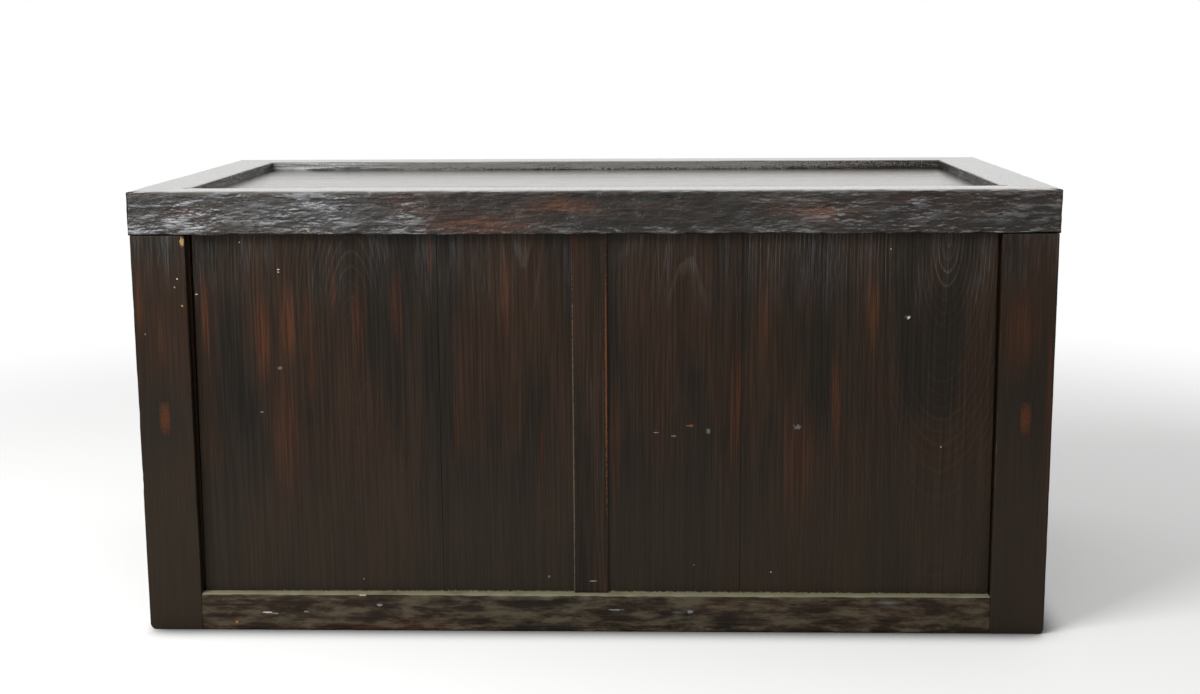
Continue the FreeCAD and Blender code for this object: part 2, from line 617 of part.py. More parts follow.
pivot_sockets = (
    ("bottom", (f"{door_low_z} - pivot_bottom_length - pivot_end_room", "rail_height")),
    ("top", (underside, f"{door_high_z} + pivot_top_length + pivot_end_room")),
)
front_pivots = [
    rod(f"pivot_socket_{end}_{side_name}", "pivot_radius + pivot_room",
        x=flip_point(pivot_x, side), y=pivot_y, z=span)
    for end, span in pivot_sockets
    for side_name, side in SIDES]
piece(cut("bottom_rail_front", rail_stock["front"],
          [floor_rebate, floor_battens, stile_stock] + front_pivots), "bottom_rail_front")
piece(cut("bottom_rail_back", rail_stock["back"],
          [floor_rebate, floor_battens, muntin_stock] + back_grooves), "bottom_rail_back")
for side_name, side in SIDES:
    piece(cut(f"bottom_rail_{side_name}", rail_stock[side_name], [floor_rebate] + end_grooves[side_name]),
          f"bottom_rail_{side_name}")


# Top frame: mitred at the corners, with a through tenon of each long member in the end member

corner_tenon_low_z = f"({underside} + corner_tenon_lift)"
corner_tenon_z = (corner_tenon_low_z, f"{corner_tenon_low_z} + corner_tenon_thickness")
corner_tenon_outer_y = "(depth / 2 - corner_tenon_cover)"


def mitred_member(name, corners):
    body = doc.addObject("PartDesign::Body", f"{name}_bar")
    padded(body, f"{name}_pad", outline(body, f"{name}_plan", "XY_Plane", corners), "top_thickness")
    return place(body, z=underside)


corner_tenons = [
    block(f"corner_tenons_{face_name}", ("-width / 2", "width / 2"),
          flip((f"{corner_tenon_outer_y} - corner_tenon_width", corner_tenon_outer_y), side),
          corner_tenon_z)
    for face_name, side in FACES]
for (face_name, side), tenon in zip(FACES, corner_tenons):
    bar = mitred_member(f"top_rail_{face_name}", [
        ("-width / 2", flip_point("depth / 2", side)),
        ("width / 2", flip_point("depth / 2", side)),
        (top_in_x, flip_point(top_in_y, side)),
        (f"-{top_in_x}", flip_point(top_in_y, side))])
    tools = [top_groove, top_battens] + post_tenons
    tools += front_pivots + [stile_stock] if face_name == "front" else back_grooves + [muntin_stock]
    piece(cut(f"top_rail_{face_name}", fuse(f"top_rail_{face_name}_stock", [bar, tenon]), tools),
          f"top_rail_{face_name}")
for side_name, side in SIDES:
    bar = mitred_member(f"top_end_{side_name}", [
        (flip_point("width / 2", side), "-depth / 2"),
        (flip_point("width / 2", side), "depth / 2"),
        (flip_point(top_in_x, side), top_in_y),
        (flip_point(top_in_x, side), f"-{top_in_y}")])
    piece(cut(f"top_end_{side_name}", bar,
              [top_groove] + corner_tenons + post_tenons + end_grooves[side_name]), f"top_end_{side_name}")


# Panels of the ends

for side_name, side in SIDES:
    for level, low, high in end_levels:
        name = f"side_panel_{side_name}_{level}"
        piece(block(name, flip((panel_in_x, panel_out_x), side),
                    (f"-({post_in_y} + panel_tongue)", f"{post_in_y} + panel_tongue"),
                    (f"{low} - panel_tongue", f"{high} + panel_tongue")), name)


# Rear panels: two boards each. The outer board has shrunk away from its post, more at the top.

back_low_z = "(rail_height - panel_tongue)"
back_high_z = f"({underside} + panel_tongue)"


def back_board(name, x_low, x_high):
    """A board whose two sides run from the bottom to the top of the panel."""
    body = doc.addObject("PartDesign::Body", name)
    sketch = outline(body, f"{name}_outline", "XZ_Plane", [
        (x_low[0], back_low_z), (x_high[0], back_low_z), (x_high[1], back_high_z), (x_low[1], back_high_z)])
    padded(body, f"{name}_pad", sketch, "panel_thickness")
    return piece(place(body, y=panel_out_y), name)


for side_name, side, muntin_edge in (("left", -1, muntin_low_x), ("right", 1, muntin_high_x)):
    inner = f"({muntin_edge} - {side} * panel_tongue)"
    seam = f"({muntin_edge} + {side} * back_inner_board)"
    near = f"({seam} - {side} * board_seam / 2)"
    far = f"({seam} + {side} * board_seam / 2)"
    outer = [flip_point(f"({post_in_x} - shrink_{side_name}_{end})", side) for end in ("bottom", "top")]
    inner_sides = ((inner, inner), (near, near))
    outer_sides = ((far, far), tuple(outer))
    for board_name, sides in (("inner", inner_sides), ("outer", outer_sides)):
        back_board(f"back_board_{side_name}_{board_name}", *(sides if side > 0 else sides[::-1]))


# Floor and shelf

def boards(name, count, y_low, y_high, z, half_length, notched):
    """Boards laid side by side along the cabinet, cut round the posts named in notched."""
    made = []
    for number in range(count):
        step = f"(({y_high}) - ({y_low})) / {count}"
        low = f"({y_low}) + {number} * {step}" + (" + board_seam / 2" if number else "")
        high = f"({y_low}) + {number + 1} * {step}" + (" - board_seam / 2" if number < count - 1 else "")
        stock = block(f"{name}_stock_{number + 1}", (f"-({half_length})", half_length), (low, high), z)
        face = {0: "front", count - 1: "back"}.get(number)
        if face in notched:
            sign = dict(FACES)[face]
            notches = [block(f"{name}_notch_{face}_{side_name}",
                             flip((f"{post_in_x} - board_room", end_out), side),
                             flip((f"{post_in_y} - board_room", face_out), sign), z)
                       for side_name, side in SIDES]
            stock = cut(f"{name}_{number + 1}", stock, notches)
        made.append(stock)
    return piece(group(name, made), name)


boards("floor_boards", 4, f"board_room - {floor_rebate_y}", f"{floor_rebate_y} - board_room",
       ("rail_height - floor_board_thickness", "rail_height"), f"{floor_rebate_x} - board_room",
       ("front", "back"))
boards("shelf_boards", 3, f"{door_in_y} + shelf_front_room", f"{muntin_in_y} - board_room",
       (shelf_under, mid_rail_top), f"{floor_rebate_x} - board_room", ("back",))


# Doors

stile_near_x = "(centre_stile_width / 2 + door_gap)"                    # edge at the centre stile
stile_far_x = f"({stile_near_x} + door_stile_width)"
hinge_far_x = f"({pivot_x} + door_thickness / 2 - door_stile_width)"    # inner edge of the pivot stile
door_y = (door_out_y, door_in_y)
door_rail_top_z = f"({door_high_z} - door_top_rail_height)"
door_rail_bottom_z = f"({door_low_z} + door_bottom_rail_height)"
door_panel_out_y = f"({door_out_y} + door_panel_sunk)"
door_panel_in_y = f"({door_panel_out_y} + door_panel_thickness)"
door_panel_y = (door_panel_out_y, door_panel_in_y)
door_batten_z = (f"{door_mid_z} - door_batten_height / 2", f"{door_mid_z} + door_batten_height / 2")
door_tenon_y = (f"({door_out_y} + (door_thickness - door_tenon_thickness) / 2)",
                f"({door_in_y} - (door_thickness - door_tenon_thickness) / 2)")
plate_x = f"({stile_near_x} + door_stile_width / 2)"
door_tip = f"({door_out_y} + staple_leg)"

for side_name, side in SIDES:
    door = f"door_{side_name}"
    bar_x = flip((stile_far_x, hinge_far_x), side)
    groove_x, panel_x, batten_x, tenon_x = [
        flip((f"{stile_far_x} - {reach}", f"{hinge_far_x} + {reach}"), side)
        for reach in ("panel_groove", "panel_tongue", "door_batten_end", "door_tenon_length")]
    groove = block(f"{door}_groove", groove_x, door_panel_y,
                   (f"{door_rail_bottom_z} - panel_groove", f"{door_rail_top_z} + panel_groove"))
    panel = block(f"{door}_panel", panel_x, door_panel_y,
                  (f"{door_rail_bottom_z} - panel_tongue", f"{door_rail_top_z} + panel_tongue"))
    batten = block(f"{door}_batten", batten_x, (door_panel_in_y, door_in_y), door_batten_z)
    rails = []
    for end, bar_z, tenon_z in (
            ("top", (door_rail_top_z, door_high_z),
             (f"{door_rail_top_z} + panel_groove", f"{door_high_z} - door_tenon_margin")),
            ("bottom", (door_low_z, door_rail_bottom_z),
             (f"{door_low_z} + door_tenon_margin", f"{door_rail_bottom_z} - panel_groove"))):
        stock = fuse(f"{door}_{end}_rail_stock", [
            block(f"{door}_{end}_rail_bar", bar_x, door_y, bar_z),
            block(f"{door}_{end}_rail_tenon", tenon_x, door_tenon_y, tenon_z)])
        rails.append(piece(cut(f"{door}_{end}_rail", stock, [groove]), f"{door}_{end}_rail"))

    at_x = flip_point(plate_x, side)
    pull_holes = leg_holes(f"{door}_pull", "pull_wire", "pull_span", door_out_y, door_tip,
                           at_x, pull_z, upright=False)
    lock_holes = leg_holes(f"{door}_lock", "lock_wire", "lock_span", door_out_y, door_tip,
                           at_x, lock_z, upright=True)
    holes = nail_holes(door, at_x, door_out_y, "plate_width") + pull_holes + lock_holes
    lock_stile = block(f"{door}_lock_stile_stock", flip((stile_near_x, stile_far_x), side), door_y,
                       (door_low_z, door_high_z))
    piece(cut(f"{door}_lock_stile", lock_stile, [groove, batten] + rails + holes), f"{door}_lock_stile")

    axis_x = flip_point(pivot_x, side)
    pivot_stile = fuse(f"{door}_pivot_stile_stock", [
        block(f"{door}_pivot_stile_bar", flip((hinge_far_x, pivot_x), side), door_y,
              (door_low_z, door_high_z)),
        rod(f"{door}_round_edge", "door_thickness / 2", x=axis_x, y=pivot_y, z=(door_low_z, door_high_z)),
        rod(f"{door}_pivots", "pivot_radius", x=axis_x, y=pivot_y,
            z=(f"{door_low_z} - pivot_bottom_length", f"{door_high_z} + pivot_top_length"))])
    piece(cut(f"{door}_pivot_stile", pivot_stile, [groove, batten] + rails), f"{door}_pivot_stile")
    piece(panel, f"{door}_panel")
    piece(batten, f"{door}_batten")

    piece(plate(f"{door}_plate", at_x, door_out_y, "plate_width", holes), f"{door}_plate")
    piece(nails(f"{door}_nails", at_x, door_out_y, "plate_width"), f"{door}_nails")
    piece(staple(f"{door}_lock_staple", "lock_wire", "lock_span", bar_y, door_tip,
                 at_x, lock_z, upright=True), f"{door}_lock_staple")
    piece(staple(f"{door}_pull_staple", "pull_wire", "pull_span", pull_y, door_tip,
                 at_x, pull_z, upright=False), f"{door}_pull_staple")

    # A pull hangs from its staple by a ring and ends in a round bulb.
    eye = doc.addObject("Part::Torus", f"{door}_pull_eye")
    bind(eye, Radius1="pull_wire + pull_eye_room + pull_eye_wire", Radius2="pull_eye_wire")
    place(eye, turn=AXIS_TURN["x"])
    neck = doc.addObject("Part::Cone", f"{door}_pull_neck")
    bind(neck, Radius1="pull_bulb", Radius2="pull_eye_wire",
         Height="pull_length - (pull_wire + pull_eye_room + pull_eye_wire)")
    place(neck, z="-pull_length")
    bulb = doc.addObject("Part::Sphere", f"{door}_pull_bulb")
    bind(bulb, Radius="pull_bulb")
    place(bulb, z="-pull_length")
    piece(place(fuse(f"{door}_pull", [eye, neck, bulb]), x=at_x, y=pull_y, z=pull_z), f"{door}_pull")


# Check every object, then write one file for each piece

doc.recompute()
for item in doc.Objects:
    if "Invalid" in item.State or "Error" in item.State:
        raise RuntimeError(f"{item.Name} did not build: {item.State}")
for item in NODES:
    if item.Shape.isNull() or not item.Shape.isValid() or not item.Shape.Solids:
        raise RuntimeError(f"{item.Label} is not a valid solid")
os.makedirs("parts", exist_ok=True)
for item in NODES:
    item.Shape.exportStep(f"parts/{item.Label}.step")
    print(f"{item.Label:28s} {len(item.Shape.Solids)} solids {item.Shape.Volume / 1000:10.2f} cm3")
print(len(NODES), "pieces")
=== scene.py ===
# %% [markdown]
# # An old kang cabinet, dressed for its picture
# The cabinet is a long, low piece of dark lacquered softwood. Its joints, sizes and doors come
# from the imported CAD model, which is loaded here as a fixed frame. Blender adds what a CAD
# model lacks: softened arrises, tool marks, dents, grain, thin lacquer, dust and tarnish.
# Nothing is moved: each dressed timber is a finely divided copy of its own CAD timber.

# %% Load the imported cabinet
import json
import math
import random
from types import SimpleNamespace

import bmesh
import bpy
import numpy as np
from mathutils import Euler, Matrix, Vector

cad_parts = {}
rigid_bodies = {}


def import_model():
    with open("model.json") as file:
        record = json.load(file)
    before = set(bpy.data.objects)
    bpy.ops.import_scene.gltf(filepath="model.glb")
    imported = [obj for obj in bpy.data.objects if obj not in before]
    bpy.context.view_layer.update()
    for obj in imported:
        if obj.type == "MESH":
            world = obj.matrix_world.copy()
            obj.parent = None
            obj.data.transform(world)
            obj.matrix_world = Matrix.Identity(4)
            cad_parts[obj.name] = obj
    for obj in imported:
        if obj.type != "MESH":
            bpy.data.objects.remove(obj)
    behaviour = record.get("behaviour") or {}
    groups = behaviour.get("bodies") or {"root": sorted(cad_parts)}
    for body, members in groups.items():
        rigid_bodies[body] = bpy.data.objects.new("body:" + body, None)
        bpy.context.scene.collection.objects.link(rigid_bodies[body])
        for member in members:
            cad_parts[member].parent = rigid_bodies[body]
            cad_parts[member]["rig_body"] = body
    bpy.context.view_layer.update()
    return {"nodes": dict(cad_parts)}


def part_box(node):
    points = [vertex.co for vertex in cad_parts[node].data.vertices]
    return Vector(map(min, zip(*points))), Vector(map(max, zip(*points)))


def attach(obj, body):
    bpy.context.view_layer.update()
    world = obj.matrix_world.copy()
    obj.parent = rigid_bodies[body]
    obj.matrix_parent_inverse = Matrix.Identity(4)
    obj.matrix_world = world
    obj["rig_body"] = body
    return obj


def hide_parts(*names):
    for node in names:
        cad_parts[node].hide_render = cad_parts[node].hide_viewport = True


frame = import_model()

# %% [markdown]
# ## The camera
# The photograph was taken square on to the rear, from a little above and just off centre. The
# camera stands at the spot from which all the corners of the cabinet fall where the photograph
# has them. Its three directions (right, up and back) are the columns of its rotation.

# %% Camera
TO_RIGHT, TO_TOP = Vector((-0.999435, -0.033062, -0.006087)), Vector((-0.000178, -0.175851, 0.984417))
EYE_AT = (-0.0841, 2.4318, 0.7608)
LENS, SENSOR_WIDTH, SEES_TO = 50.9, 36.0, 100.0

eye = bpy.data.objects.new("photograph_camera", bpy.data.cameras.new("photograph_camera"))
bpy.context.scene.collection.objects.link(eye)
eye.matrix_world = (Matrix.Translation(EYE_AT)
                    @ Matrix((TO_RIGHT, TO_TOP, TO_RIGHT.cross(TO_TOP))).transposed().to_4x4())
eye.data.lens = LENS
eye.data.sensor_width = SENSOR_WIDTH
eye.data.clip_end = SEES_TO
bpy.context.scene.camera = eye
print("camera at", tuple(round(value, 3) for value in eye.location))

# %% [markdown]
# ## Small helpers for node trees
# A shader could be put together by hand in the Shader Editor, but a script can be run again and
# reads like a recipe. It reads best when a node is one line: its kind, what feeds its sockets,
# and its settings. A value that is itself a socket becomes a link, anything else a number.

# %% Node helpers
def put(tree, kind, feeds=None, **settings):
    """Adds a node, applies its settings, and feeds its sockets with numbers or other sockets."""
    made = tree.nodes.new(kind)
    for setting, value in settings.items():
        setattr(made, setting, value)
    for socket, value in (feeds or {}).items():
        if isinstance(value, bpy.types.NodeSocket):
            tree.links.new(value, made.inputs[socket])
        else:
            made.inputs[socket].default_value = value
    return made


def math_step(tree, operation, first, second=0.0, clamp=False):
    """One step of arithmetic."""
    return put(tree, "ShaderNodeMath", {0: first, 1: second}, operation=operation, use_clamp=clamp).outputs[0]


def in_turn(tree, operation, terms, clamp):
    """The same step for two or more terms, one node after another; only the last one clamps."""
    result = terms[0]
    for number, term in enumerate(terms[1:], 2):
        result = math_step(tree, operation, result, term, clamp and number == len(terms))
    return result


def times(tree, *terms, clamp=False):
    return in_turn(tree, "MULTIPLY", terms, clamp)


def plus(tree, *terms, clamp=False):
    return in_turn(tree, "ADD", terms, clamp)


def minus(tree, *terms, clamp=False):
    return in_turn(tree, "SUBTRACT", terms, clamp)


def vector_step(tree, operation, first, second=(0.0, 0.0, 0.0)):
    """One step of arithmetic on places."""
    return put(tree, "ShaderNodeVectorMath", {0: first, 1: second}, operation=operation).outputs[0]


def length_of(tree, place):
    return put(tree, "ShaderNodeVectorMath", {0: place}, operation="LENGTH").outputs["Value"]


def parts_of(tree, place):
    """The X, Y and Z of a place or direction."""
    return put(tree, "ShaderNodeSeparateXYZ", {0: place}).outputs


# %% [markdown]
# ## Helpers for patches, colours and groups
# Wear on real wood is soft-edged and patchy. A noise texture stretched along the grain gives
# streaks, and a Map Range node turns any value into a soft step. An effect that several
# materials share is best kept as a node group, so that it is built once.

# %% Patches, colours and groups
def between(tree, value, low, high, start=0.0, end=1.0):
    """A soft step: start below low, end above high."""
    return put(tree, "ShaderNodeMapRange", {"Value": value, "From Min": low, "From Max": high,
                                            "To Min": start, "To Max": end},
               interpolation_type="SMOOTHSTEP").outputs["Result"]


def clouds(tree, place, scale, detail=2.0, roughness=0.5):
    """Soft random patches from 0 to 1; a bigger scale makes smaller patches."""
    return put(tree, "ShaderNodeTexNoise", {"Vector": place, "Scale": scale, "Detail": detail,
                                            "Roughness": roughness}).outputs["Fac"]


def stretched(tree, place, across, along):
    """The same place, measured more coarsely along the grain, so that patches become streaks."""
    return vector_step(tree, "MULTIPLY", place, (across, across, along))


def over(tree, amount, below, above, how="MIX"):
    """Lays one colour over another by an amount from 0 to 1."""
    made = put(tree, "ShaderNodeMix", {0: amount, 6: below, 7: above}, data_type="RGBA",
               blend_type=how, clamp_factor=True)
    return made.outputs[2]


PLACES = ("Place", "Upward", "Centre", "Reach", "Apart")


def effect_group(name, inputs, outputs):
    """An empty shader node group with named sockets; returns its tree, inputs and outputs."""
    tree = bpy.data.node_groups.new(name, "ShaderNodeTree")
    for label in inputs:
        kind = "NodeSocketVector" if label in PLACES else "NodeSocketFloat"
        tree.interface.new_socket(name=label, in_out="INPUT", socket_type=kind)
    for label in outputs:
        tree.interface.new_socket(name=label, in_out="OUTPUT", socket_type="NodeSocketFloat")
    print("node group", name, "gives", ", ".join(outputs))
    return tree, tree.nodes.new("NodeGroupInput").outputs, tree.nodes.new("NodeGroupOutput").inputs


def new_finish(name):
    """An empty material and its node tree."""
    made = bpy.data.materials.new(name)
    made.use_nodes = True
    made.node_tree.nodes.clear()
    return made, made.node_tree


def colour(red, green, blue):
    return (red, green, blue, 1.0)


# %% [markdown]
# ## The floor
# The cabinet stands on plain pale paper. A wide white plane is enough, but a plane lit by one
# lamp looks too clean right under the cabinet. So an Ambient Occlusion node darkens the floor's
# colour and glow where it sees little: a painted contact shade. On the side towards the lamp a
# mask keeps the floor bright, a painted light. Far from the cabinet the floor fades to plain
# white, so that it has no edge.

# %% Floor
PAPER_HALF, PAPER_TONE = 14.0, colour(0.83, 0.83, 0.825)
BLACK, FULL_WHITE = colour(0, 0, 0), colour(1, 1, 1)
PAINTED_SHADE_REACH, PAINTED_SHADE_SAMPLES = 0.055, 10
PAINTED_LIT_FROM, PAINTED_LIT_TO = 0.56, 0.60
FADE_FROM, FADE_TO = 1.3, 2.4
PAPER_GLOW = 0.19

floor_mesh = bpy.data.meshes.new("floor")
paper_corners = [(x * PAPER_HALF, y * PAPER_HALF, 0) for x, y in ((-1, -1), (1, -1), (1, 1), (-1, 1))]
floor_mesh.from_pydata(paper_corners, [], [(0, 1, 2, 3)])
floor = bpy.data.objects.new("floor", floor_mesh)
bpy.context.scene.collection.objects.link(floor)
paper, tree = new_finish("pale_floor")
rays = put(tree, "ShaderNodeLightPath").outputs
spot = put(tree, "ShaderNodeTexCoord").outputs["Object"]
# Painted contact shade: Ambient Occlusion darkens the floor's colour and glow, and on the lamp side a mask
# paints it bright again.
painted_shade_occlusion = put(tree, "ShaderNodeAmbientOcclusion", {"Distance": PAINTED_SHADE_REACH},
              samples=PAINTED_SHADE_SAMPLES).outputs["AO"]
painted_lit_side = between(tree, parts_of(tree, spot)["X"], PAINTED_LIT_FROM, PAINTED_LIT_TO)
painted_floor_light = math_step(tree, "MAXIMUM", between(tree, painted_shade_occlusion, 0.38, 0.97, 0.04, 1.0), painted_lit_side)
matt = put(tree, "ShaderNodeBsdfDiffuse", {"Color": over(tree, painted_floor_light, BLACK, PAPER_TONE)}).outputs[0]
lift = times(tree, rays["Is Camera Ray"], PAPER_GLOW, painted_floor_light)
glow = put(tree, "ShaderNodeEmission", {"Color": FULL_WHITE, "Strength": lift}).outputs[0]
near = put(tree, "ShaderNodeAddShader", {0: matt, 1: glow}).outputs[0]
away = times(tree, between(tree, length_of(tree, spot), FADE_FROM, FADE_TO), rays["Is Camera Ray"])
far = put(tree, "ShaderNodeEmission", {"Color": FULL_WHITE, "Strength": 1.0}).outputs[0]
sheet = put(tree, "ShaderNodeMixShader", {0: away, 1: near, 2: far}).outputs[0]
put(tree, "ShaderNodeOutputMaterial", {"Surface": sheet})
floor_mesh.materials.append(paper)
print("the floor is", 2 * PAPER_HALF, "metres wide")

# %% [markdown]
# ## The light
# One large soft lamp stands overhead, to the side that is left in the photograph, so that the
# soft shadow falls to the right. The world fills in the rest. Where the camera, a gloss or glass
# looks past the cabinet it sees plain white, which Light Path tells apart, and so the white
# background puts no more light on the wood.

# %% World and lamp
FILL, LAMP_WATTS = 0.55, 74.0
LAMP_AT, LAMP_AIM, LAMP_SIZE = (1.75, 1.75, 2.1), (0, 0, 0.3), (1.5, 1.2)

world = bpy.data.worlds.new("studio")
bpy.context.scene.world = world
world.use_nodes = True
tree = world.node_tree
tree.nodes.clear()
rays = put(tree, "ShaderNodeLightPath").outputs
seen = math_step(tree, "MAXIMUM", rays["Is Camera Ray"],
                 math_step(tree, "MAXIMUM", rays["Is Glossy Ray"], rays["Is Transmission Ray"]))
fill = put(tree, "ShaderNodeBackground", {"Color": FULL_WHITE, "Strength": FILL}).outputs[0]
white = put(tree, "ShaderNodeBackground", {"Color": FULL_WHITE, "Strength": 1.0}).outputs[0]
sky = put(tree, "ShaderNodeMixShader", {0: seen, 1: fill, 2: white}).outputs[0]
put(tree, "ShaderNodeOutputWorld", {"Surface": sky})

lamp = bpy.data.objects.new("soft_lamp", bpy.data.lights.new("soft_lamp", "AREA"))
bpy.context.scene.collection.objects.link(lamp)
lamp.data.shape = "RECTANGLE"
lamp.data.size, lamp.data.size_y = LAMP_SIZE
lamp.data.energy = LAMP_WATTS
lamp.location = LAMP_AT
lamp.rotation_euler = (Vector(LAMP_AIM) - lamp.location).to_track_quat("-Z", "Y").to_euler()
bpy.context.scene.view_settings.view_transform = "Standard"
print("a lamp of", LAMP_WATTS, "watts stands at", LAMP_AT)

# %% [markdown]
# ## Cutting a timber's faces into a grid
# A CAD timber is a few large flat faces, and a flat face can't be dented or worn. A voxel remesh
# would give small faces but lose the crisp joinery, so the copy is sliced by evenly spaced
# planes along all three axes instead, with extra slices beside each arris for its rounding.

# %% Slice a timber
MM = 0.001
WELD = 1e-6  # points closer together than this, in metres, are one point


def grid_planes(low, high, step, fringe):
    """Where the slices cross one axis: evenly, and closer together beside the two outer faces."""
    even = np.linspace(low, high, max(2, round((high - low) / step)) + 1)[1:-1]
    room = fringe[-1] + 0.4 * step
    even = [place for place in even if low + room < place < high - room]
    if high - low < 2.5 * fringe[-1]:
        return even
    return sorted(even + [low + gap for gap in fringe] + [high - gap for gap in fringe])


def timbers_of(node):
    """The separate timbers of a CAD node, merged and freed of the triangles' diagonals.

    They come in the order of their points, because a set has no order that is the same each run.
    """
    whole = bmesh.new()
    whole.from_mesh(frame["nodes"][node].data)
    bmesh.ops.remove_doubles(whole, verts=whole.verts, dist=WELD)
    bmesh.ops.dissolve_limit(whole, angle_limit=math.radians(0.5), verts=whole.verts, edges=whole.edges)
    left, found = set(whole.verts), []
    while left:
        reach = [left.pop()]
        gathered = set(reach)
        while reach:
            for edge in reach.pop().link_edges:
                for vert in edge.verts:
                    if vert in left:
                        left.discard(vert)
                        gathered.add(vert)
                        reach.append(vert)
        found.append(gathered)
    whole.verts.index_update()
    found.sort(key=lambda gathered: min(vert.index for vert in gathered))
    for gathered in found:
        single = bmesh.new()
        twin = {vert: single.verts.new(vert.co) for vert in whole.verts if vert in gathered}
        for face in whole.faces:
            if face.verts[0] in gathered:
                single.faces.new([twin[vert] for vert in face.verts])
        yield single
    whole.free()


def slice_up(shape, low, high, steps, fringe):
    """Cuts every face of the timber where a grid plane crosses it."""
    for axis in range(3):
        across = Vector([float(axis == other) for other in range(3)])
        for place in grid_planes(low[axis], high[axis], steps[axis], fringe):
            bmesh.ops.bisect_plane(shape, geom=shape.verts[:] + shape.edges[:] + shape.faces[:],
                                   dist=0.02 * MM, plane_co=across * place, plane_no=across)


print("the kang cabinet has", len(frame["nodes"]), "named pieces to dress")

# %% [markdown]
# ## Random roughness that is the same every time
# Wear has to look random and still come out the same on every run. Each cell of a lattice gets a
# fixed number worked out from its own place, and the points between are blended smoothly.

# %% Lattice noise
def cell_numbers(cells, seed):
    """One number from 0 to 1 for each cell."""
    mixed = (cells * np.array([73856093, 19349663, 83492791])).sum(axis=1) + seed * 26544357
    mixed = (mixed ^ (mixed >> 15)) * 22468225
    mixed = (mixed ^ (mixed >> 13)) * 32664899
    return ((mixed >> 9) & 65535) / 65535


def hills(points, size, seed):
    """Smooth random heights from 0 to 1 at each point; size is a hill's length along each axis."""
    scaled = points / np.array(size)
    cell = np.floor(scaled).astype(np.int64)
    part = scaled - cell
    part = part * part * (3 - 2 * part)
    total = np.zeros(len(points))
    for corner in np.ndindex(2, 2, 2):
        weight = np.where(np.array(corner, bool), part, 1 - part).prod(axis=1)
        total += weight * cell_numbers(cell + np.array(corner), seed)
    return total


three_points = np.array([(0.1, 0.2, 0.3), (1.4, 0.2, 0.3), (2.7, 0.2, 0.3)])
print("three lattice heights:", hills(three_points, 1.0, 1).round(3))

# %% [markdown]
# ## Ageing a timber
# Three things happened to the real timbers. Their arrises were rubbed round, more in some places
# than in others. Their faces show the tools and the raised grain. And they were knocked, which
# left dents and chips. All three only take wood away, so a dressed timber never leaves its box.

# %% Round the arrises
ON_SKIN = 1e-5  # a point nearer to a face than this, in metres, lies on it


def round_off(flat, low, high, radius):
    """Turns the square corners of a cross-section into round ones."""
    core = np.clip(flat, low + radius, high - radius)
    out = flat - core
    longest = np.abs(out).max(axis=1, keepdims=True)
    length = np.linalg.norm(out, axis=1, keepdims=True)
    inside = (longest <= radius * 1.001) & (length > 0)
    return np.where(inside, core + out * longest / np.maximum(length, 1e-9), flat)


def rounded(points, low, high, grain, arris, ends, chips, seed):
    """Rounds the four long arrises, unevenly, and eases the two ends.

    The arrises are numbered by which side of each of the two axes across the grain they lie on:
    low and low, high and low, low and high, high and high. arris is one radius for all or four.
    """
    across = [axis for axis in range(3) if axis != grain]
    flat = points[:, across]
    side = flat > (low[across] + high[across]) / 2
    corner = side[:, 0] + 2 * side[:, 1]
    line = np.column_stack([points[:, grain] / (45 * MM), corner * 7.3, np.zeros(len(points))])
    radius = np.broadcast_to(arris, 4)[corner]
    radius = radius * (0.45 + 1.1 * hills(line, 1.0, seed) * hills(line * 4.1, 1.0, seed + 1) * 1.6)
    for where, which, length, depth in chips:
        reach = np.exp(-((points[:, grain] - where) / length) ** 2)
        radius = radius + np.where(corner == which, depth * reach, 0)
    half_size = (high[across] - low[across]).min() / 2
    flat = round_off(flat, low[across], high[across], np.minimum(radius, 0.8 * half_size)[:, None])
    to_end = np.minimum(points[:, grain] - low[grain], high[grain] - points[:, grain])
    near_end = np.clip(1 - to_end / ends, 0, 1)[:, None]
    ease = ends * (1 - np.sqrt(1 - near_end ** 2 * 0.999)) * (to_end > -ON_SKIN)[:, None]
    middle = (low[across] + high[across]) / 2
    half_span = (high[across] - low[across]) / 2
    on_skin = np.abs(np.abs(points[:, across] - middle) - half_span) < ON_SKIN
    flat = flat - np.sign(flat - middle) * ease * on_skin
    moved = points.copy()
    moved[:, across] = flat
    return moved


corner_point = round_off(np.zeros((1, 2)), np.zeros(2), np.full(2, 20 * MM), 1 * MM)
print("a corner rounded by 1 mm moves in by", round(float(np.linalg.norm(corner_point)) / MM, 3), "mm")

# %% [markdown]
# ## Dents, roughness and a record of the wear
# A finish has to know where the wood was worn, so that lacquer is rubbed off there and dirt sits
# in the dents. Painting that by hand on so many timbers would take days. The shape is worked out
# in numbers anyway, so the same numbers are stored on the mesh as two attributes, which the
# materials read.

# %% Age a timber
TOP_CORNER = np.array([0.590, 0.305])


def write_wear(mesh, worn, hollow):
    """Stores how worn each point is, and how many millimetres deep it was dented."""
    for label, values in (("worn", worn), ("hollow", hollow)):
        layer = mesh.attributes.new(label, "FLOAT", "POINT")
        layer.data.foreach_set("value", np.array(values, np.float32))


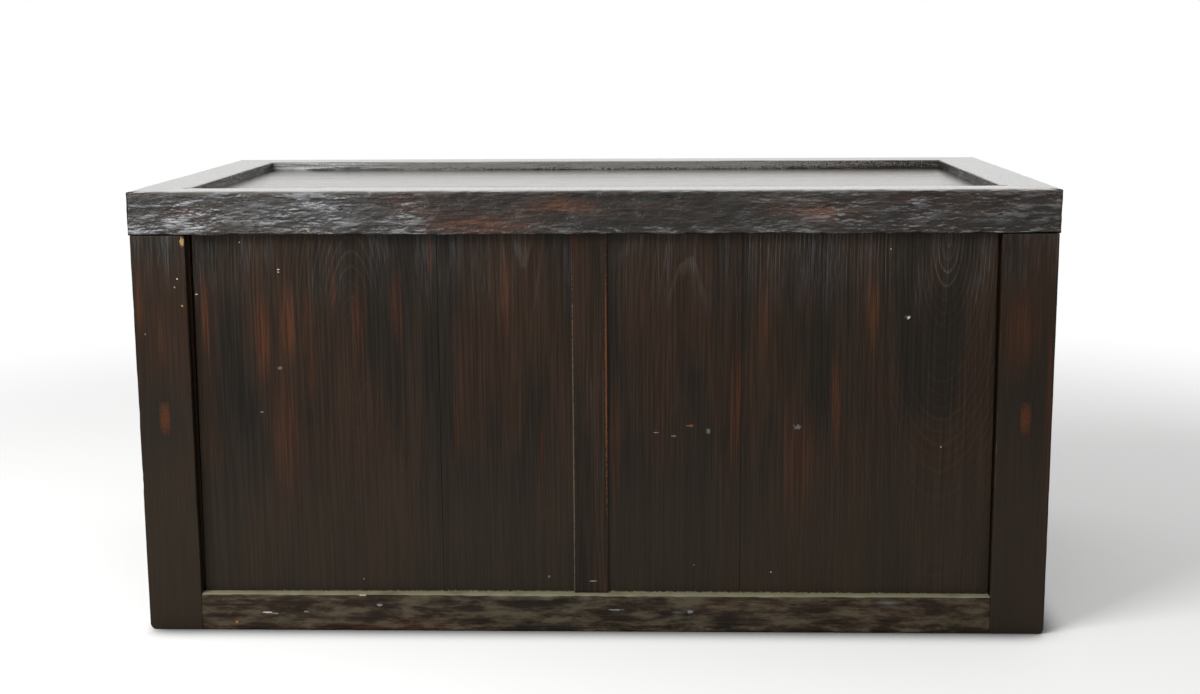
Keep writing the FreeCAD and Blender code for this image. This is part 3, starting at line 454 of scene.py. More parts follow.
def aged(mesh, low, high, grain, arris, relief, knocks=(), chips=(), ends=0.6 * MM, seed=1,
         hill=(34, 5), corner=0):
    """Rounds, roughens and dents one timber's mesh, and stores how worn each point is."""
    points = np.empty(len(mesh.vertices) * 3)
    mesh.vertices.foreach_get("co", points)
    points = points.reshape(-1, 3)
    low, high = np.array(low), np.array(high)
    gap = np.minimum(points - low, high - points)
    skin = (np.abs(gap).min(axis=1) < ON_SKIN) & (gap.min(axis=1) > -ON_SKIN)
    past_end = np.array([0.0 if axis != grain else 1.2 * MM for axis in range(3)])
    order = np.sort(np.abs(gap) + past_end, axis=1)
    most = np.max(arris)
    worn = np.where(skin, np.exp(-order[:, 1] / (0.5 * MM + most)), 0)
    outward = points - np.clip(points, low + 2 * most, high - 2 * most)
    outward /= np.maximum(np.linalg.norm(outward, axis=1, keepdims=True), 1e-9)
    moved = rounded(points, low, high, grain, arris, ends, chips, seed)
    size = np.full(3, hill[1] * MM)
    size[grain] = hill[0] * MM
    height = (0.42 * hills(points, size * 2.2, seed + 3) + 0.36 * hills(points, size, seed + 4)
              + 0.22 * hills(points, size * 0.55, seed + 5))
    depth = (np.abs(outward) * np.array(relief)).sum(axis=1) * MM * height
    hollow = np.zeros(len(points))
    for centre, reach, knock in knocks:
        apart = ((points - np.array(centre)) / np.array(reach)) ** 2
        hollow = np.maximum(hollow, knock * np.exp(-1.4 * apart.sum(axis=1)))
    moved -= outward * ((depth + hollow) * skin)[:, None]
    if corner:
        moved[:, :2] = round_off(moved[:, :2], -TOP_CORNER, TOP_CORNER, corner)
    mesh.vertices.foreach_set("co", moved.ravel())
    write_wear(mesh, worn, hollow / MM)


# %% [markdown]
# ## Growth rings
# Softwood is a stack of yearly rings round the pith of the tree. A board is a flat cut through
# those rings, which gives straight lines near its edges and pointed figures in its middle. So the
# rings are made as the tree made them, in three dimensions, round a slightly leaning pith.

# %% Growth ring group
tree, given, wanted = effect_group("growth_rings", ("Place", "Ring Width", "Wander"), ("Late Wood", "Year"))
drift = put(tree, "ShaderNodeTexNoise", {"Vector": stretched(tree, given["Place"], 1.0, 0.3), "Scale": 5.0,
                                         "Detail": 2.0}).outputs["Color"]
shift = vector_step(tree, "SUBTRACT", drift, (0.5, 0.5, 0.5))
bent = put(tree, "ShaderNodeVectorMath", {0: shift, 3: given["Wander"]}, operation="SCALE").outputs[0]
place = vector_step(tree, "ADD", given["Place"], bent)
flat = vector_step(tree, "MULTIPLY", place, (1.0, 1.0, 0.0))
radius = length_of(tree, flat)
ripple = times(tree, clouds(tree, stretched(tree, given["Place"], 1.0, 0.08), 90.0, 3.0), 0.0022)
rings = math_step(tree, "DIVIDE", plus(tree, radius, ripple), given["Ring Width"])
part = math_step(tree, "FRACT", rings)
late = times(tree, between(tree, part, 0.66, 0.90), between(tree, part, 1.0, 0.95))
year = put(tree, "ShaderNodeTexWhiteNoise", {"W": math_step(tree, "FLOOR", rings)},
           noise_dimensions="1D").outputs["Value"]
tree.links.new(late, wanted["Late Wood"])
tree.links.new(year, wanted["Year"])

# %% [markdown]
# ## Fibres
# Between the rings, softwood shows thousands of thin straight fibres. Real strands would be far
# too many, so noise is stretched thirty times and more along the grain: fine, coarse, and a few
# threads that are painted pale as highlights. The specks are open pores, which show only on bare
# wood.

# %% Fibre group
tree, given, wanted = effect_group("fibres", ("Place",), ("Fine", "Coarse", "Threads", "Specks"))
fine = clouds(tree, stretched(tree, given["Place"], 1.0, 0.035), 900.0, 3.0, 0.65)
coarse = clouds(tree, stretched(tree, given["Place"], 1.0, 0.016), 440.0, 4.0, 0.68)
specks = clouds(tree, stretched(tree, given["Place"], 1.0, 0.25), 1300.0, 1.0)
threads = clouds(tree, stretched(tree, given["Place"], 1.0, 0.012), 620.0, 2.0, 0.5)
tree.links.new(between(tree, threads, 0.55, 0.68), wanted["Threads"])
tree.links.new(between(tree, fine, 0.3, 0.72), wanted["Fine"])
tree.links.new(between(tree, coarse, 0.32, 0.7), wanted["Coarse"])
tree.links.new(between(tree, specks, 0.66, 0.74), wanted["Specks"])

# %% [markdown]
# ## Thin lacquer, rubbed edges, dust
# The lacquer went thin in long soft patches, where the red-brown wood shows through. It rubbed
# off along the arrises. Dust settled on what faces up. Each of these is one node group that all
# the timbers share, with its own values in each.

# %% Thin lacquer and rubbed edges
tree, given, wanted = effect_group("thin_lacquer", ("Place", "Amount"), ("Patch", "Heart"))
broad = clouds(tree, stretched(tree, given["Place"], 1.0, 0.14), 26.0, 3.0, 0.62)
fringe = clouds(tree, stretched(tree, given["Place"], 1.0, 0.03), 210.0, 2.0)
rough_edge = plus(tree, broad, times(tree, fringe, 0.18))
start = minus(tree, 0.80, times(tree, given["Amount"], 0.3))
patch = minus(tree, rough_edge, start)
tree.links.new(between(tree, patch, 0.0, 0.13), wanted["Patch"])
tree.links.new(between(tree, patch, 0.09, 0.2), wanted["Heart"])

tree, given, wanted = effect_group("rubbed_edges", ("Place", "Worn", "Amount"), ("Edge",))
patchy = clouds(tree, given["Place"], 38.0, 3.0, 0.6)
nicks = clouds(tree, given["Place"], 260.0, 3.0, 0.7)
reach = times(tree, given["Worn"], plus(tree, 0.35, times(tree, patchy, 1.1)))
reach = plus(tree, reach, times(tree, minus(tree, nicks, 0.5), 0.35))
limit = minus(tree, 1.0, times(tree, given["Amount"], 0.6))
tree.links.new(between(tree, minus(tree, reach, limit), 0.0, 0.2), wanted["Edge"])

# %% Dust, and faces that were never lacquered
INNER_MIDDLE, INNER_HALF = (0.0, 0.0075, 0.3005), (0.5628, 0.2698, 0.2508)

tree, given, wanted = effect_group("settled_dust", ("Place", "Amount"), ("Dust",))
up = parts_of(tree, put(tree, "ShaderNodeNewGeometry").outputs["Normal"])["Z"]
drifts = clouds(tree, given["Place"], 24.0, 4.0, 0.65)
lying = times(tree, between(tree, up, 0.40, 0.80), between(tree, drifts, 0.25, 0.65, 0.5, 1.0))
tree.links.new(times(tree, lying, given["Amount"], clamp=True), wanted["Dust"])

tree, given, wanted = effect_group("inner_faces", ("Place",), ("Inside",))
apart = vector_step(tree, "SUBTRACT", given["Place"], INNER_MIDDLE)
apart = vector_step(tree, "ABSOLUTE", apart)
sides = parts_of(tree, vector_step(tree, "SUBTRACT", INNER_HALF, apart))
nearest = math_step(tree, "MINIMUM", math_step(tree, "MINIMUM", sides[0], sides[1]), sides[2])
tree.links.new(between(tree, nearest, 0.0, 0.0006), wanted["Inside"])

# %% [markdown]
# ## Scraped faces
# The edge of the top was scraped and split long ago. Its gouges could be carved into the mesh,
# but they are finer than its grid. So a height is made of two noises, and it is read twice, a
# little apart, as if lit from above: where it rises the lip gets a painted highlight, and where
# it falls the valley gets painted shade.

# %% Tool marks group
def gouged(tree, place):
    """The height of a scraped face: broad gouges with torn fibres on them."""
    wide = clouds(tree, stretched(tree, place, 1.0, 0.30), 80.0, 5.0, 0.66)
    narrow = clouds(tree, stretched(tree, place, 1.0, 0.20), 260.0, 4.0, 0.70)
    return plus(tree, times(tree, wide, 0.62), times(tree, narrow, 0.38))


tree, given, wanted = effect_group("tool_marks", ("Place", "Upward"), ("Ridge", "Shaded Valley", "Lit Lip", "Height"))
height = gouged(tree, given["Place"])
above = gouged(tree, put(tree, "ShaderNodeVectorMath", {0: given["Place"], 1: given["Upward"]}).outputs[0])
# Painted light, as if lit from above: where the face tilts up there is a painted highlight, and where it tilts
# down painted shade.
slope = minus(tree, height, above)
tree.links.new(between(tree, height, 0.47, 0.60), wanted["Ridge"])
fall = between(tree, slope, -0.01, -0.07)
tree.links.new(math_step(tree, "MAXIMUM", fall, between(tree, height, 0.46, 0.38)), wanted["Shaded Valley"])
tree.links.new(between(tree, slope, 0.01, 0.085), wanted["Lit Lip"])
tree.links.new(height, wanted["Height"])

# %% [markdown]
# ## Marks in known places
# Some marks can be pointed at in the photograph: a splash of paint, a scratch, a reddish patch.
# A painted image would do, but this cabinet uses no pictures. Each mark is an egg-shaped place
# with a ragged edge, either crisp, or soft and streaked along the grain.

# %% Single mark and soft patch groups
tree, given, wanted = effect_group("single_mark", ("Place", "Centre", "Reach", "Core"), ("Mark",))
ragged = put(tree, "ShaderNodeTexNoise", {"Vector": given["Place"], "Scale": 420.0,
                                          "Detail": 2.0}).outputs["Color"]
ragged = vector_step(tree, "SUBTRACT", ragged, (0.5, 0.5, 0.5))
apart = vector_step(tree, "SUBTRACT", given["Place"], given["Centre"])
apart = vector_step(tree, "DIVIDE", apart, given["Reach"])
apart = put(tree, "ShaderNodeVectorMath", {0: ragged, 1: (1.6, 1.6, 1.6), 2: apart},
            operation="MULTIPLY_ADD").outputs[0]
tree.links.new(between(tree, length_of(tree, apart), 1.0, given["Core"]), wanted["Mark"])

tree, given, wanted = effect_group("soft_patch", ("Place", "Apart", "Reach"), ("Patch",))
size = length_of(tree, vector_step(tree, "DIVIDE", given["Apart"], given["Reach"]))
streaks = clouds(tree, stretched(tree, given["Place"], 1.0, 0.06), 130.0, 4.0, 0.6)
size = plus(tree, size, times(tree, minus(tree, streaks, 0.5), 2.2))
tree.links.new(between(tree, size, 1.25, -0.1), wanted["Patch"])

# %% [markdown]
# ## One lacquered finish, many boards
# Every timber was cut from its own log, so each gets a material of its own: the same effects in
# the same order, with its own pith, lean and wear. A Mapping node turns the object's place so
# that its Z runs along the grain and the pith of the log lies on that axis. What all the steps
# share is kept together in one small record, and each step lays a colour over it.

# %% Start a finish
UMBER, NIGHT = colour(0.0235, 0.0130, 0.0075), colour(0.0088, 0.0082, 0.0062)
RED, ORANGE, EMBER = colour(0.048, 0.0170, 0.0075), colour(0.105, 0.032, 0.009), colour(0.075, 0.025, 0.009)
RIDGE, RAW, OLIVE = colour(0.085, 0.076, 0.066), colour(0.20, 0.12, 0.062), colour(0.0235, 0.0168, 0.0108)
DUST, BLOOM_AND_REFLECTION = colour(0.19, 0.180, 0.115), colour(0.158, 0.146, 0.116)
PAINTED_SHEEN, SCUFF_AND_HIGHLIGHT = colour(0.120, 0.122, 0.126), colour(0.325, 0.338, 0.355)
WHITE, GREY, PALE, CHIP = (colour(0.50, 0.50, 0.47), colour(0.17, 0.18, 0.18), colour(0.10, 0.105, 0.105),
                           colour(0.33, 0.21, 0.085))
CRISP, FIRM, SOFT = 0.55, 0.31, 0.0
X, Y, Z = 0, 1, 2
TURN = {X: (0.0, -math.pi / 2, 0.0), Y: (math.pi / 2, 0.0, 0.0), Z: (0.0, 0.0, 0.0)}


def grain_place(tree, grain, pith, lean):
    """The object's own place; the same with Z along the leaning pith; the same with Z along the fibres."""
    here = put(tree, "ShaderNodeTexCoord").outputs["Object"]
    along = Euler(TURN[grain]).to_matrix()
    turned = [here]
    for turn in (Euler((lean[0], lean[1], 0.0)).to_matrix() @ along, along):
        turned.append(put(tree, "ShaderNodeMapping", {"Vector": here, "Location": -(turn @ Vector(pith)),
                                                      "Rotation": turn.to_euler()}).outputs[0])
    return turned


def group(tree, name, **feeds):
    """Places one of the shared effects."""
    made = put(tree, "ShaderNodeGroup", node_tree=bpy.data.node_groups[name])
    for socket, value in feeds.items():
        socket = socket.replace("_", " ").title()
        if isinstance(value, bpy.types.NodeSocket):
            tree.links.new(value, made.inputs[socket])
        else:
            made.inputs[socket].default_value = value
    return made.outputs


def started(name, grain, pith, lean, ring, wander, dust):
    """A new material, and what all the steps of a wood finish read: places, rings, fibres, and where dust
    lies, which on the polished top also carries a painted reflection.
    """
    made, tree = new_finish(name)
    here, log_place, place = grain_place(tree, grain, pith, lean)
    return SimpleNamespace(
        made=made, tree=tree, here=here, place=place, grain=grain, axes=parts_of(tree, here),
        rings=group(tree, "growth_rings", place=log_place, ring_width=ring, wander=wander),
        fibre=group(tree, "fibres", place=place),
        dust_and_reflection=group(tree, "settled_dust", place=here, amount=dust)["Dust"])


def lay(wood, amount, above, how="MIX"):
    """Lays a colour over the finish so far."""
    wood.skin = over(wood.tree, amount, wood.skin, above, how)


def shade(wood, bump, rough, **settings):
    """Ends a finish: the shader and the output."""
    feeds = {"Base Color": wood.skin, "Roughness": rough, "Normal": bump.outputs[0]}
    feeds.update({label.replace("_", " "): value for label, value in settings.items()})
    made = put(wood.tree, "ShaderNodeBsdfPrincipled", feeds)
    put(wood.tree, "ShaderNodeOutputMaterial", {"Surface": made.outputs[0]})
    return wood.made


print("a finish can use", len(bpy.data.node_groups), "shared effects")

# %% [markdown]
# ## The coats, and wood that shows through
# The lacquer is nearly black where it is thick and umber where it isn't. Where it went thin, red
# wood glows through it. The old fibres still show in it as light and dark streaks, less so near
# the foot of a panel, where dirt has evened them out.

# %% Coats of lacquer
def coats(wood, murk, thin):
    """Thick and thin lacquer, with the red wood under it."""
    tree = wood.tree
    wood.slow = clouds(tree, stretched(tree, wood.place, 1.0, 0.2), 15.0, 3.0)
    wood.skin = over(tree, between(tree, wood.slow, 0.40, 0.58, murk, 0.0), UMBER, NIGHT)
    thinned = group(tree, "thin_lacquer", place=wood.place, amount=thin)
    lay(wood, times(tree, thinned["Patch"], 0.6), RED)
    glowing = times(tree, thinned["Heart"], between(tree, wood.fibre["Coarse"], 0.2, 0.9, 0.25, 1.0))
    lay(wood, times(tree, glowing, 0.35), ORANGE)


def soft_marks(wood, marks):
    """Patches in known places, under the streaks of the fibres."""
    tree = wood.tree
    for centre, reach, tone, core in marks:
        if core == SOFT:
            apart = vector_step(tree, "SUBTRACT", wood.here, centre)
            spot = group(tree, "soft_patch", place=wood.place, apart=apart, reach=reach)["Patch"]
            lay(wood, times(tree, spot, between(tree, wood.fibre["Coarse"], 0.0, 0.9, 0.45, 0.9)), tone)


def streaked(wood, calm, streak):
    """The streaks of the fibres; calm is the axis and the two heights between which they fade."""
    tree = wood.tree
    wood.quiet = 1.0
    if calm:
        axis, full, faint = calm
        lay(wood, between(tree, wood.axes[axis], full, faint, 0.0, 0.75), OLIVE)
        wood.quiet = between(tree, wood.axes[axis], full, faint, 1.0, 0.45)
    stripes = between(tree, wood.fibre["Coarse"], 0.0, 1.0, 1.0 - streak, 1.0 + 0.9 * streak)
    lay(wood, wood.quiet, put(tree, "ShaderNodeCombineColor", {0: stripes, 1: stripes, 2: stripes}).outputs[0],
        "MULTIPLY")


# %% [markdown]
# ## The figure of the wood
# Late wood is harder than early wood and stands up as fine ridges. The ridges and a few threads
# are painted pale: faintly everywhere, and much paler within the first sheen band, in the upper
# part of a panel, which makes them a painted sheen there. The same rings and fibres feed the
# colour and a Bump node, so that a pale ridge is a raised ridge.

# %% Figure and raised grain
def figured(wood, sheen_bands, figure, calm):
    """Pale ridges of late wood and pale threads, faint outside the first sheen band and a painted sheen within
    it.
    """
    tree, rings, fibre = wood.tree, wood.rings, wood.fibre
    # Painted sheen: within the first sheen band the ridges and threads are paler.
    lift = 0.5
    if sheen_bands:
        axis, start, end = sheen_bands[0][:3]
        lift = between(tree, wood.axes[axis], start, end, 0.12, 1.0)
    broad = clouds(tree, stretched(tree, wood.place, 1.0, 0.3), 14.0, 2.0)
    shown = times(tree, between(tree, broad, 0.36, 0.6, 0.3, 1.0), lift)
    if calm:
        shown = times(tree, shown, wood.quiet)
    ridges = times(tree, rings["Late Wood"], between(tree, rings["Year"], 0.1, 1.0, 0.35, 1.0))
    ridges = times(tree, ridges, shown, between(tree, fibre["Fine"], 0.0, 1.0, 0.35, 1.0))
    lay(wood, times(tree, ridges, figure, clamp=True), RIDGE)
    lay(wood, times(tree, fibre["Threads"], fibre["Fine"], shown, 0.55), RIDGE)


def raised_grain(wood):
    """The Bump node that lifts late wood and fibres by fractions of a millimetre."""
    tree = wood.tree
    relief = plus(tree, times(tree, wood.rings["Late Wood"], 0.6), times(tree, wood.fibre["Fine"], 0.5),
                  times(tree, wood.fibre["Coarse"], 0.6))
    return put(tree, "ShaderNodeBump", {"Height": relief, "Strength": 0.4, "Distance": 0.4 * MM})


# %% [markdown]
# ## Gouges, painted sheen and cracks
# A scraped face gets painted shade in its valleys, and pale scuffs with painted highlights on its
# ridges and lips. Other faces get only a thin grey painted sheen near the top. A sheen band is
# laid along one axis, between two places, and on a scraped face it brightens the scuffs and
# highlights only. The cracks come last, so that they stay dark.

# %% Scraped and veiled faces
def scraped_face(wood, bump, tooled):
    """The valleys and lips of an upright scraped face: painted shade in the valleys, pale scuffs and painted
    highlights on ridges and lips.
    """
    tree, place = wood.tree, wood.place
    upward = Euler(TURN[wood.grain]).to_matrix() @ Vector((0, 0, 1.8 * MM))
    worked = group(tree, "tool_marks", place=place, upward=upward)
    wood.upright = between(tree, math_step(tree, "ABSOLUTE", wood.up), 0.55, 0.9, 1.0, 0.0)
    patches = between(tree, clouds(tree, stretched(tree, place, 1.0, 0.32), 30.0, 3.0), 0.40, 0.62, 0.04, 1.0)
    others = between(tree, clouds(tree, wood.here, 13.0, 4.0, 0.6), 0.40, 0.58, 0.15, 1.0)
    scraped = plus(tree, times(tree, worked["Ridge"], 0.5, patches), times(tree, worked["Lit Lip"], 0.66, others))
    wood.scraped = times(tree, scraped, wood.upright)
    # Painted shade in the valleys, and pale scuffs that are partly painted highlights on the ridges and lips.
    lay(wood, times(tree, worked["Shaded Valley"], wood.upright, 0.6 * tooled), NIGHT)
    lay(wood, times(tree, wood.scraped, 0.10 * tooled), SCUFF_AND_HIGHLIGHT)
    deep = put(tree, "ShaderNodeBump", {"Height": times(tree, worked["Height"], wood.upright),
                                        "Strength": 1.0, "Distance": 7.0 * MM * tooled})
    tree.links.new(deep.outputs[0], bump.inputs["Normal"])


def lay_sheen_bands(wood, sheen_bands, tooled):
    """Painted sheen, or pale scuffs with painted highlights on a scraped face; a band is an axis, its start
    and end, and a strength.
    """
    tree = wood.tree
    for axis, start, end, strength in sheen_bands:
        sheen_band = between(tree, wood.axes[axis], start, end)
        if tooled:
            lay(wood, times(tree, sheen_band, wood.scraped, strength), SCUFF_AND_HIGHLIGHT)
        else:
            streaks = clouds(tree, stretched(tree, wood.place, 1.0, 0.1), 60.0, 4.0)
            # Painted sheen: a grey band that stands for light on the lacquer.
            lay(wood, times(tree, sheen_band, between(tree, streaks, 0.42, 0.72, 0.05, 1.0),
                            between(tree, wood.fibre["Fine"], 0.25, 1.0, 0.1, 1.0), strength), PAINTED_SHEEN)
    if tooled:
        splits = clouds(tree, stretched(tree, wood.place, 1.0, 0.06), 250.0, 4.0, 0.62)
        lay(wood, times(tree, between(tree, splits, 0.54, 0.63), wood.upright, 0.85), NIGHT)


# %% [markdown]
# ## Worn arrises, dried drips, cut ends
# The lacquer is rubbed off the arrises, down to raw wood at the very edge, and dirt fills the
# dents. Water and dirt ran down the rails near the floor and dried there. A cut end drinks more
# lacquer than a face, so it is darker. The two attributes of the aged mesh say where.

# %% Wear, drips, ends and crisp marks
def worn_away(wood, edge):
    """Rubbed arrises and filled dents."""
    tree = wood.tree
    worn = put(tree, "ShaderNodeAttribute", attribute_name="worn").outputs["Fac"]
    hollow = put(tree, "ShaderNodeAttribute", attribute_name="hollow").outputs["Fac"]
    rubbed = group(tree, "rubbed_edges", place=wood.here, worn=worn, amount=edge)["Edge"]
    lay(wood, times(tree, rubbed, 0.55), ORANGE)
    lay(wood, times(tree, between(tree, rubbed, 0.75, 1.0), wood.fibre["Fine"]), RAW)
    lay(wood, between(tree, hollow, 0.5, 2.4, 0.0, 0.7), NIGHT)


def dripped(wood, drips):
    """A dried film with runs in it, and a stained foot."""
    tree = wood.tree
    runs = clouds(tree, stretched(tree, wood.here, 1.0, 0.16), 170.0, 4.0, 0.7)
    film = clouds(tree, stretched(tree, wood.place, 1.0, 0.24), 80.0, 6.0, 0.72)
    lay(wood, times(tree, between(tree, film, 0.42, 0.64), drips * 0.8), colour(0.104, 0.085, 0.054))
    lay(wood, times(tree, between(tree, film, 0.46, 0.34), 0.5), NIGHT)
    runs = times(tree, between(tree, runs, 0.60, 0.72), between(tree, film, 0.38, 0.6))
    lay(wood, times(tree, runs, drips * 0.36), colour(0.15, 0.085, 0.032))
    foot = times(tree, between(tree, wood.axes[Z], 0.010, 0.002), between(tree, film, 0.52, 0.62))
    lay(wood, times(tree, foot, drips * 0.4), colour(0.15, 0.125, 0.085))


def cut_ends(wood, tone):
    """The ends of a timber, where its face looks along the grain."""
    tree = wood.tree
    grain_way = tuple(float(wood.grain == axis) for axis in (X, Y, Z))
    along = put(tree, "ShaderNodeVectorMath", {0: wood.facing, 1: grain_way},
                operation="DOT_PRODUCT").outputs["Value"]
    cut = between(tree, math_step(tree, "ABSOLUTE", along), 0.8, 0.97)
    lay(wood, times(tree, cut, between(tree, wood.rings["Late Wood"], 0.0, 1.0, 0.9, 0.6)), tone)


def crisp_marks(wood, marks):
    """Splashes and scratches in known places, on top of the finish."""
    for centre, reach, tone, core in marks:
        if core != SOFT:
            spot = group(wood.tree, "single_mark", place=wood.here, centre=centre, reach=reach, core=core)
            lay(wood, spot["Mark"], tone)


# %% [markdown]
# ## Bare inner faces and dust
# Inside the cabinet the wood was never lacquered. One timber can have both kinds of face, so the
# finish looks at where it is: inside the room of the cabinet it turns to bare wood. Dust lies on
# top of all. On the polished top it is a pale bloom, thinner over fibres and late wood, which is
# partly a painted reflection of the bright room.

# %% Inside and dust
def bare_inside(wood):
    """Bare wood on the faces that look into the cabinet; returns where they are."""
    tree = wood.tree
    inside = group(tree, "inner_faces", place=wood.here)["Inside"]
    bare = over(tree, wood.rings["Late Wood"], colour(0.115, 0.062, 0.030), colour(0.062, 0.030, 0.014))
    bare = over(tree, times(tree, wood.fibre["Coarse"], 0.5), bare, colour(0.055, 0.032, 0.019))
    lay(wood, inside, bare)
    return inside


def dusted(wood, bloom_and_reflection):
    """Dust, or on polished wood a pale bloom that is partly a painted reflection."""
    tree = wood.tree
    if bloom_and_reflection:
        wood.dust_and_reflection = times(tree, wood.dust_and_reflection, between(tree, wood.fibre["Coarse"], 0.0, 1.0, 1.0, 0.50),
                           between(tree, wood.rings["Late Wood"], 0.0, 1.0, 1.0, 0.45),
                           between(tree, wood.slow, 0.38, 0.62, 0.55, 1.0))
    lay(wood, wood.dust_and_reflection, bloom_and_reflection or DUST)


# %% [markdown]
# ## The whole lacquer
# The steps follow each other as the years did: lacquer, wear, dirt, dust, with painted sheen,
# highlights and shade laid in among them. Every number that differs from timber to timber is
# named here, with the value that suits most of them. Polish is a clear coat on what faces up,
# which was wiped for generations.

# %% Lacquered wood
def lacquered(name, grain, pith, lean=(0.0, 0.0), ring=0.0036, wander=0.016, figure=0.4, thin=0.35,
              edge=0.5, dust=0.25, sheen_bands=(), gloss=0.40, shine=1.2, polish=0.0, tooled=0.0, drips=0.0,
              ends=NIGHT, marks=(), murk=0.6, calm=None, bloom_and_reflection=None, streak=0.34):
    """Old dark lacquer on softwood, worn in its own way on each timber."""
    wood = started(name, grain, pith, lean, ring, wander, dust)
    tree = wood.tree
    wood.facing = put(tree, "ShaderNodeNewGeometry").outputs["Normal"]
    wood.up = parts_of(tree, wood.facing)["Z"]
    coats(wood, murk, thin)
    soft_marks(wood, marks)
    streaked(wood, calm, streak)
    figured(wood, sheen_bands, figure, calm)
    bump = raised_grain(wood)
    if tooled:
        scraped_face(wood, bump, tooled)
    lay_sheen_bands(wood, sheen_bands, tooled)
    worn_away(wood, edge)
    if drips:
        dripped(wood, drips)
    cut_ends(wood, ends)
    crisp_marks(wood, marks)
    inside = bare_inside(wood)
    dusted(wood, bloom_and_reflection)
    rough = plus(tree, times(tree, wood.fibre["Fine"], 0.14), gloss)
    if not bloom_and_reflection:
        rough = plus(tree, rough, times(tree, wood.dust_and_reflection, 0.4))
    rough = plus(tree, rough, times(tree, inside, 0.3), clamp=True)
    coat = {}
    if polish:
        level = between(tree, wood.up, 0.8, 0.97)
        rough = minus(tree, rough, times(tree, level, 0.15), clamp=True)
        coat = {"Coat_Weight": times(tree, level, polish)}
    return shade(wood, bump, rough, IOR=shine, Coat_Roughness=0.20, Coat_IOR=1.5, **coat)


# %% [markdown]
# ## Bare wood
# The shelf, the floor boards and the battens never had a finish. They are brown with age, stained
# in slow patches and specked with open pores. The rings and fibres are the same groups as under
# the lacquer, only nothing covers them.

# %% Bare wood
def bare_wood(name, grain, pith, lean=(0.0, 0.0), ring=0.0042, wander=0.03, dust=0.2):
    """Softwood that never had a finish, brown with age."""
    wood = started(name, grain, pith, lean, ring, wander, dust)
    tree = wood.tree
    stain = clouds(tree, stretched(tree, wood.place, 1.0, 0.4), 11.0, 4.0, 0.6)
    wood.skin = over(tree, between(tree, stain, 0.3, 0.7), colour(0.16, 0.092, 0.046),
                     colour(0.245, 0.155, 0.085))
    for part, amount, tone in ((wood.rings["Late Wood"], 0.7, colour(0.105, 0.050, 0.022)),
                               (wood.fibre["Coarse"], 0.4, colour(0.095, 0.058, 0.034)),
                               (wood.fibre["Specks"], 0.5, colour(0.04, 0.024, 0.014))):
        lay(wood, times(tree, part, amount), tone)
    lay(wood, wood.dust_and_reflection, colour(0.27, 0.23, 0.17))
    relief = plus(tree, times(tree, wood.rings["Late Wood"], 0.6), wood.fibre["Coarse"])
    bump = put(tree, "ShaderNodeBump", {"Height": relief, "Strength": 0.5, "Distance": 0.4 * MM})
    return shade(wood, bump, plus(tree, times(tree, wood.fibre["Fine"], 0.15), 0.62), IOR=1.4)


# %% [markdown]
# ## Dressing the timbers
# A row of numbers says how each timber was made and used: which way its grain runs, how far its
# tenons stick out, how round its arrises are and how rough its faces. One function then slices,
# ages and finishes a copy of it, and lets the copy ride where its CAD timber rides.

# %% Dress one timber
draw = random.Random(7)
FRINGE = np.array((0.35, 0.9, 1.7, 3.0))  # the slices beside an arris, in radii of that arris
SHARP_WOOD, SHARP_METAL = math.radians(38), math.radians(50)


def take_place(mesh, name, node):
    """Puts a finished mesh in the place of its CAD node, on the same body."""
    mesh.name = name
    piece = bpy.data.objects.new(name, mesh)
    bpy.context.scene.collection.objects.link(piece)
    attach(piece, frame["nodes"][node]["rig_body"])
    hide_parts(node)
    print(name, len(mesh.polygons), "faces")


def smoothed(mesh, sharp, material):
    """Smooth faces with sharp arrises, in one material."""
    mesh.polygons.foreach_set("use_smooth", [True] * len(mesh.polygons))
    mesh.set_sharp_from_angle(angle=sharp)
    mesh.materials.clear()
    mesh.materials.append(material)


def dressed(node, grain, tenons, steps, arris, relief, hill, material, knocks=(), chips=(), corner=0):
    """A sliced and aged copy of a CAD timber, in its own material, in the CAD timber's place.

    In millimetres: tenons is how far the tenons at its two ends stick out, steps how far apart the
    slices are along X, Y and Z, arris the radius of its long edges, relief how deep its faces
    facing X, Y and Z are roughened, and hill how long and wide one hill of that roughness is.
    """
    joined = bmesh.new()
    for shape in timbers_of(node):
        places = np.array([vert.co for vert in shape.verts])
        low, high = places.min(axis=0), places.max(axis=0)
        low[grain] += tenons[0] * MM
        high[grain] -= tenons[1] * MM
        slice_up(shape, low, high, np.array(steps) * MM, FRINGE * np.max(arris) * MM)
        single = bpy.data.meshes.new("single_timber")
        shape.to_mesh(single)
        shape.free()
        aged(single, low, high, grain, np.array(arris) * MM, relief, knocks, chips,
             seed=draw.randrange(9000), hill=hill, corner=corner)
        joined.from_mesh(single)
        bpy.data.meshes.remove(single)
    mesh = bpy.data.meshes.new("aged_" + node)
    joined.to_mesh(mesh)
    joined.free()
    smoothed(mesh, SHARP_WOOD, material)
    take_place(mesh, "aged_" + node, node)


# %% [markdown]
# ## Dents, chips and marks
# Dents lie anywhere on a face and chips along an arris. They are drawn at random with a fixed
# seed, so that they come out the same every time. Marks that the photograph shows are listed
# instead, in rows that are short enough to read.

# %% Dents, chips and marks
def knocks_on(low, high, reach, deepest, count):
    """Random dents spread over a face; reach is the dents' largest half size along each axis."""
    found = []
    for _ in range(count):
        centre = [draw.uniform(start, end) for start, end in zip(low, high)]
        size = draw.uniform(0.35, 1.0)
        found.append((centre, [size * each for each in reach], deepest * draw.uniform(0.3, 1.0)))
    return found


def chips_along(low, high, corners, longest, deepest, count):
    """Random chips along a timber's long arrises."""
    return [(draw.uniform(low, high), draw.choice(corners), longest * draw.uniform(0.25, 1.0),
             deepest * draw.uniform(0.25, 1.0) ** 2) for _ in range(count)]


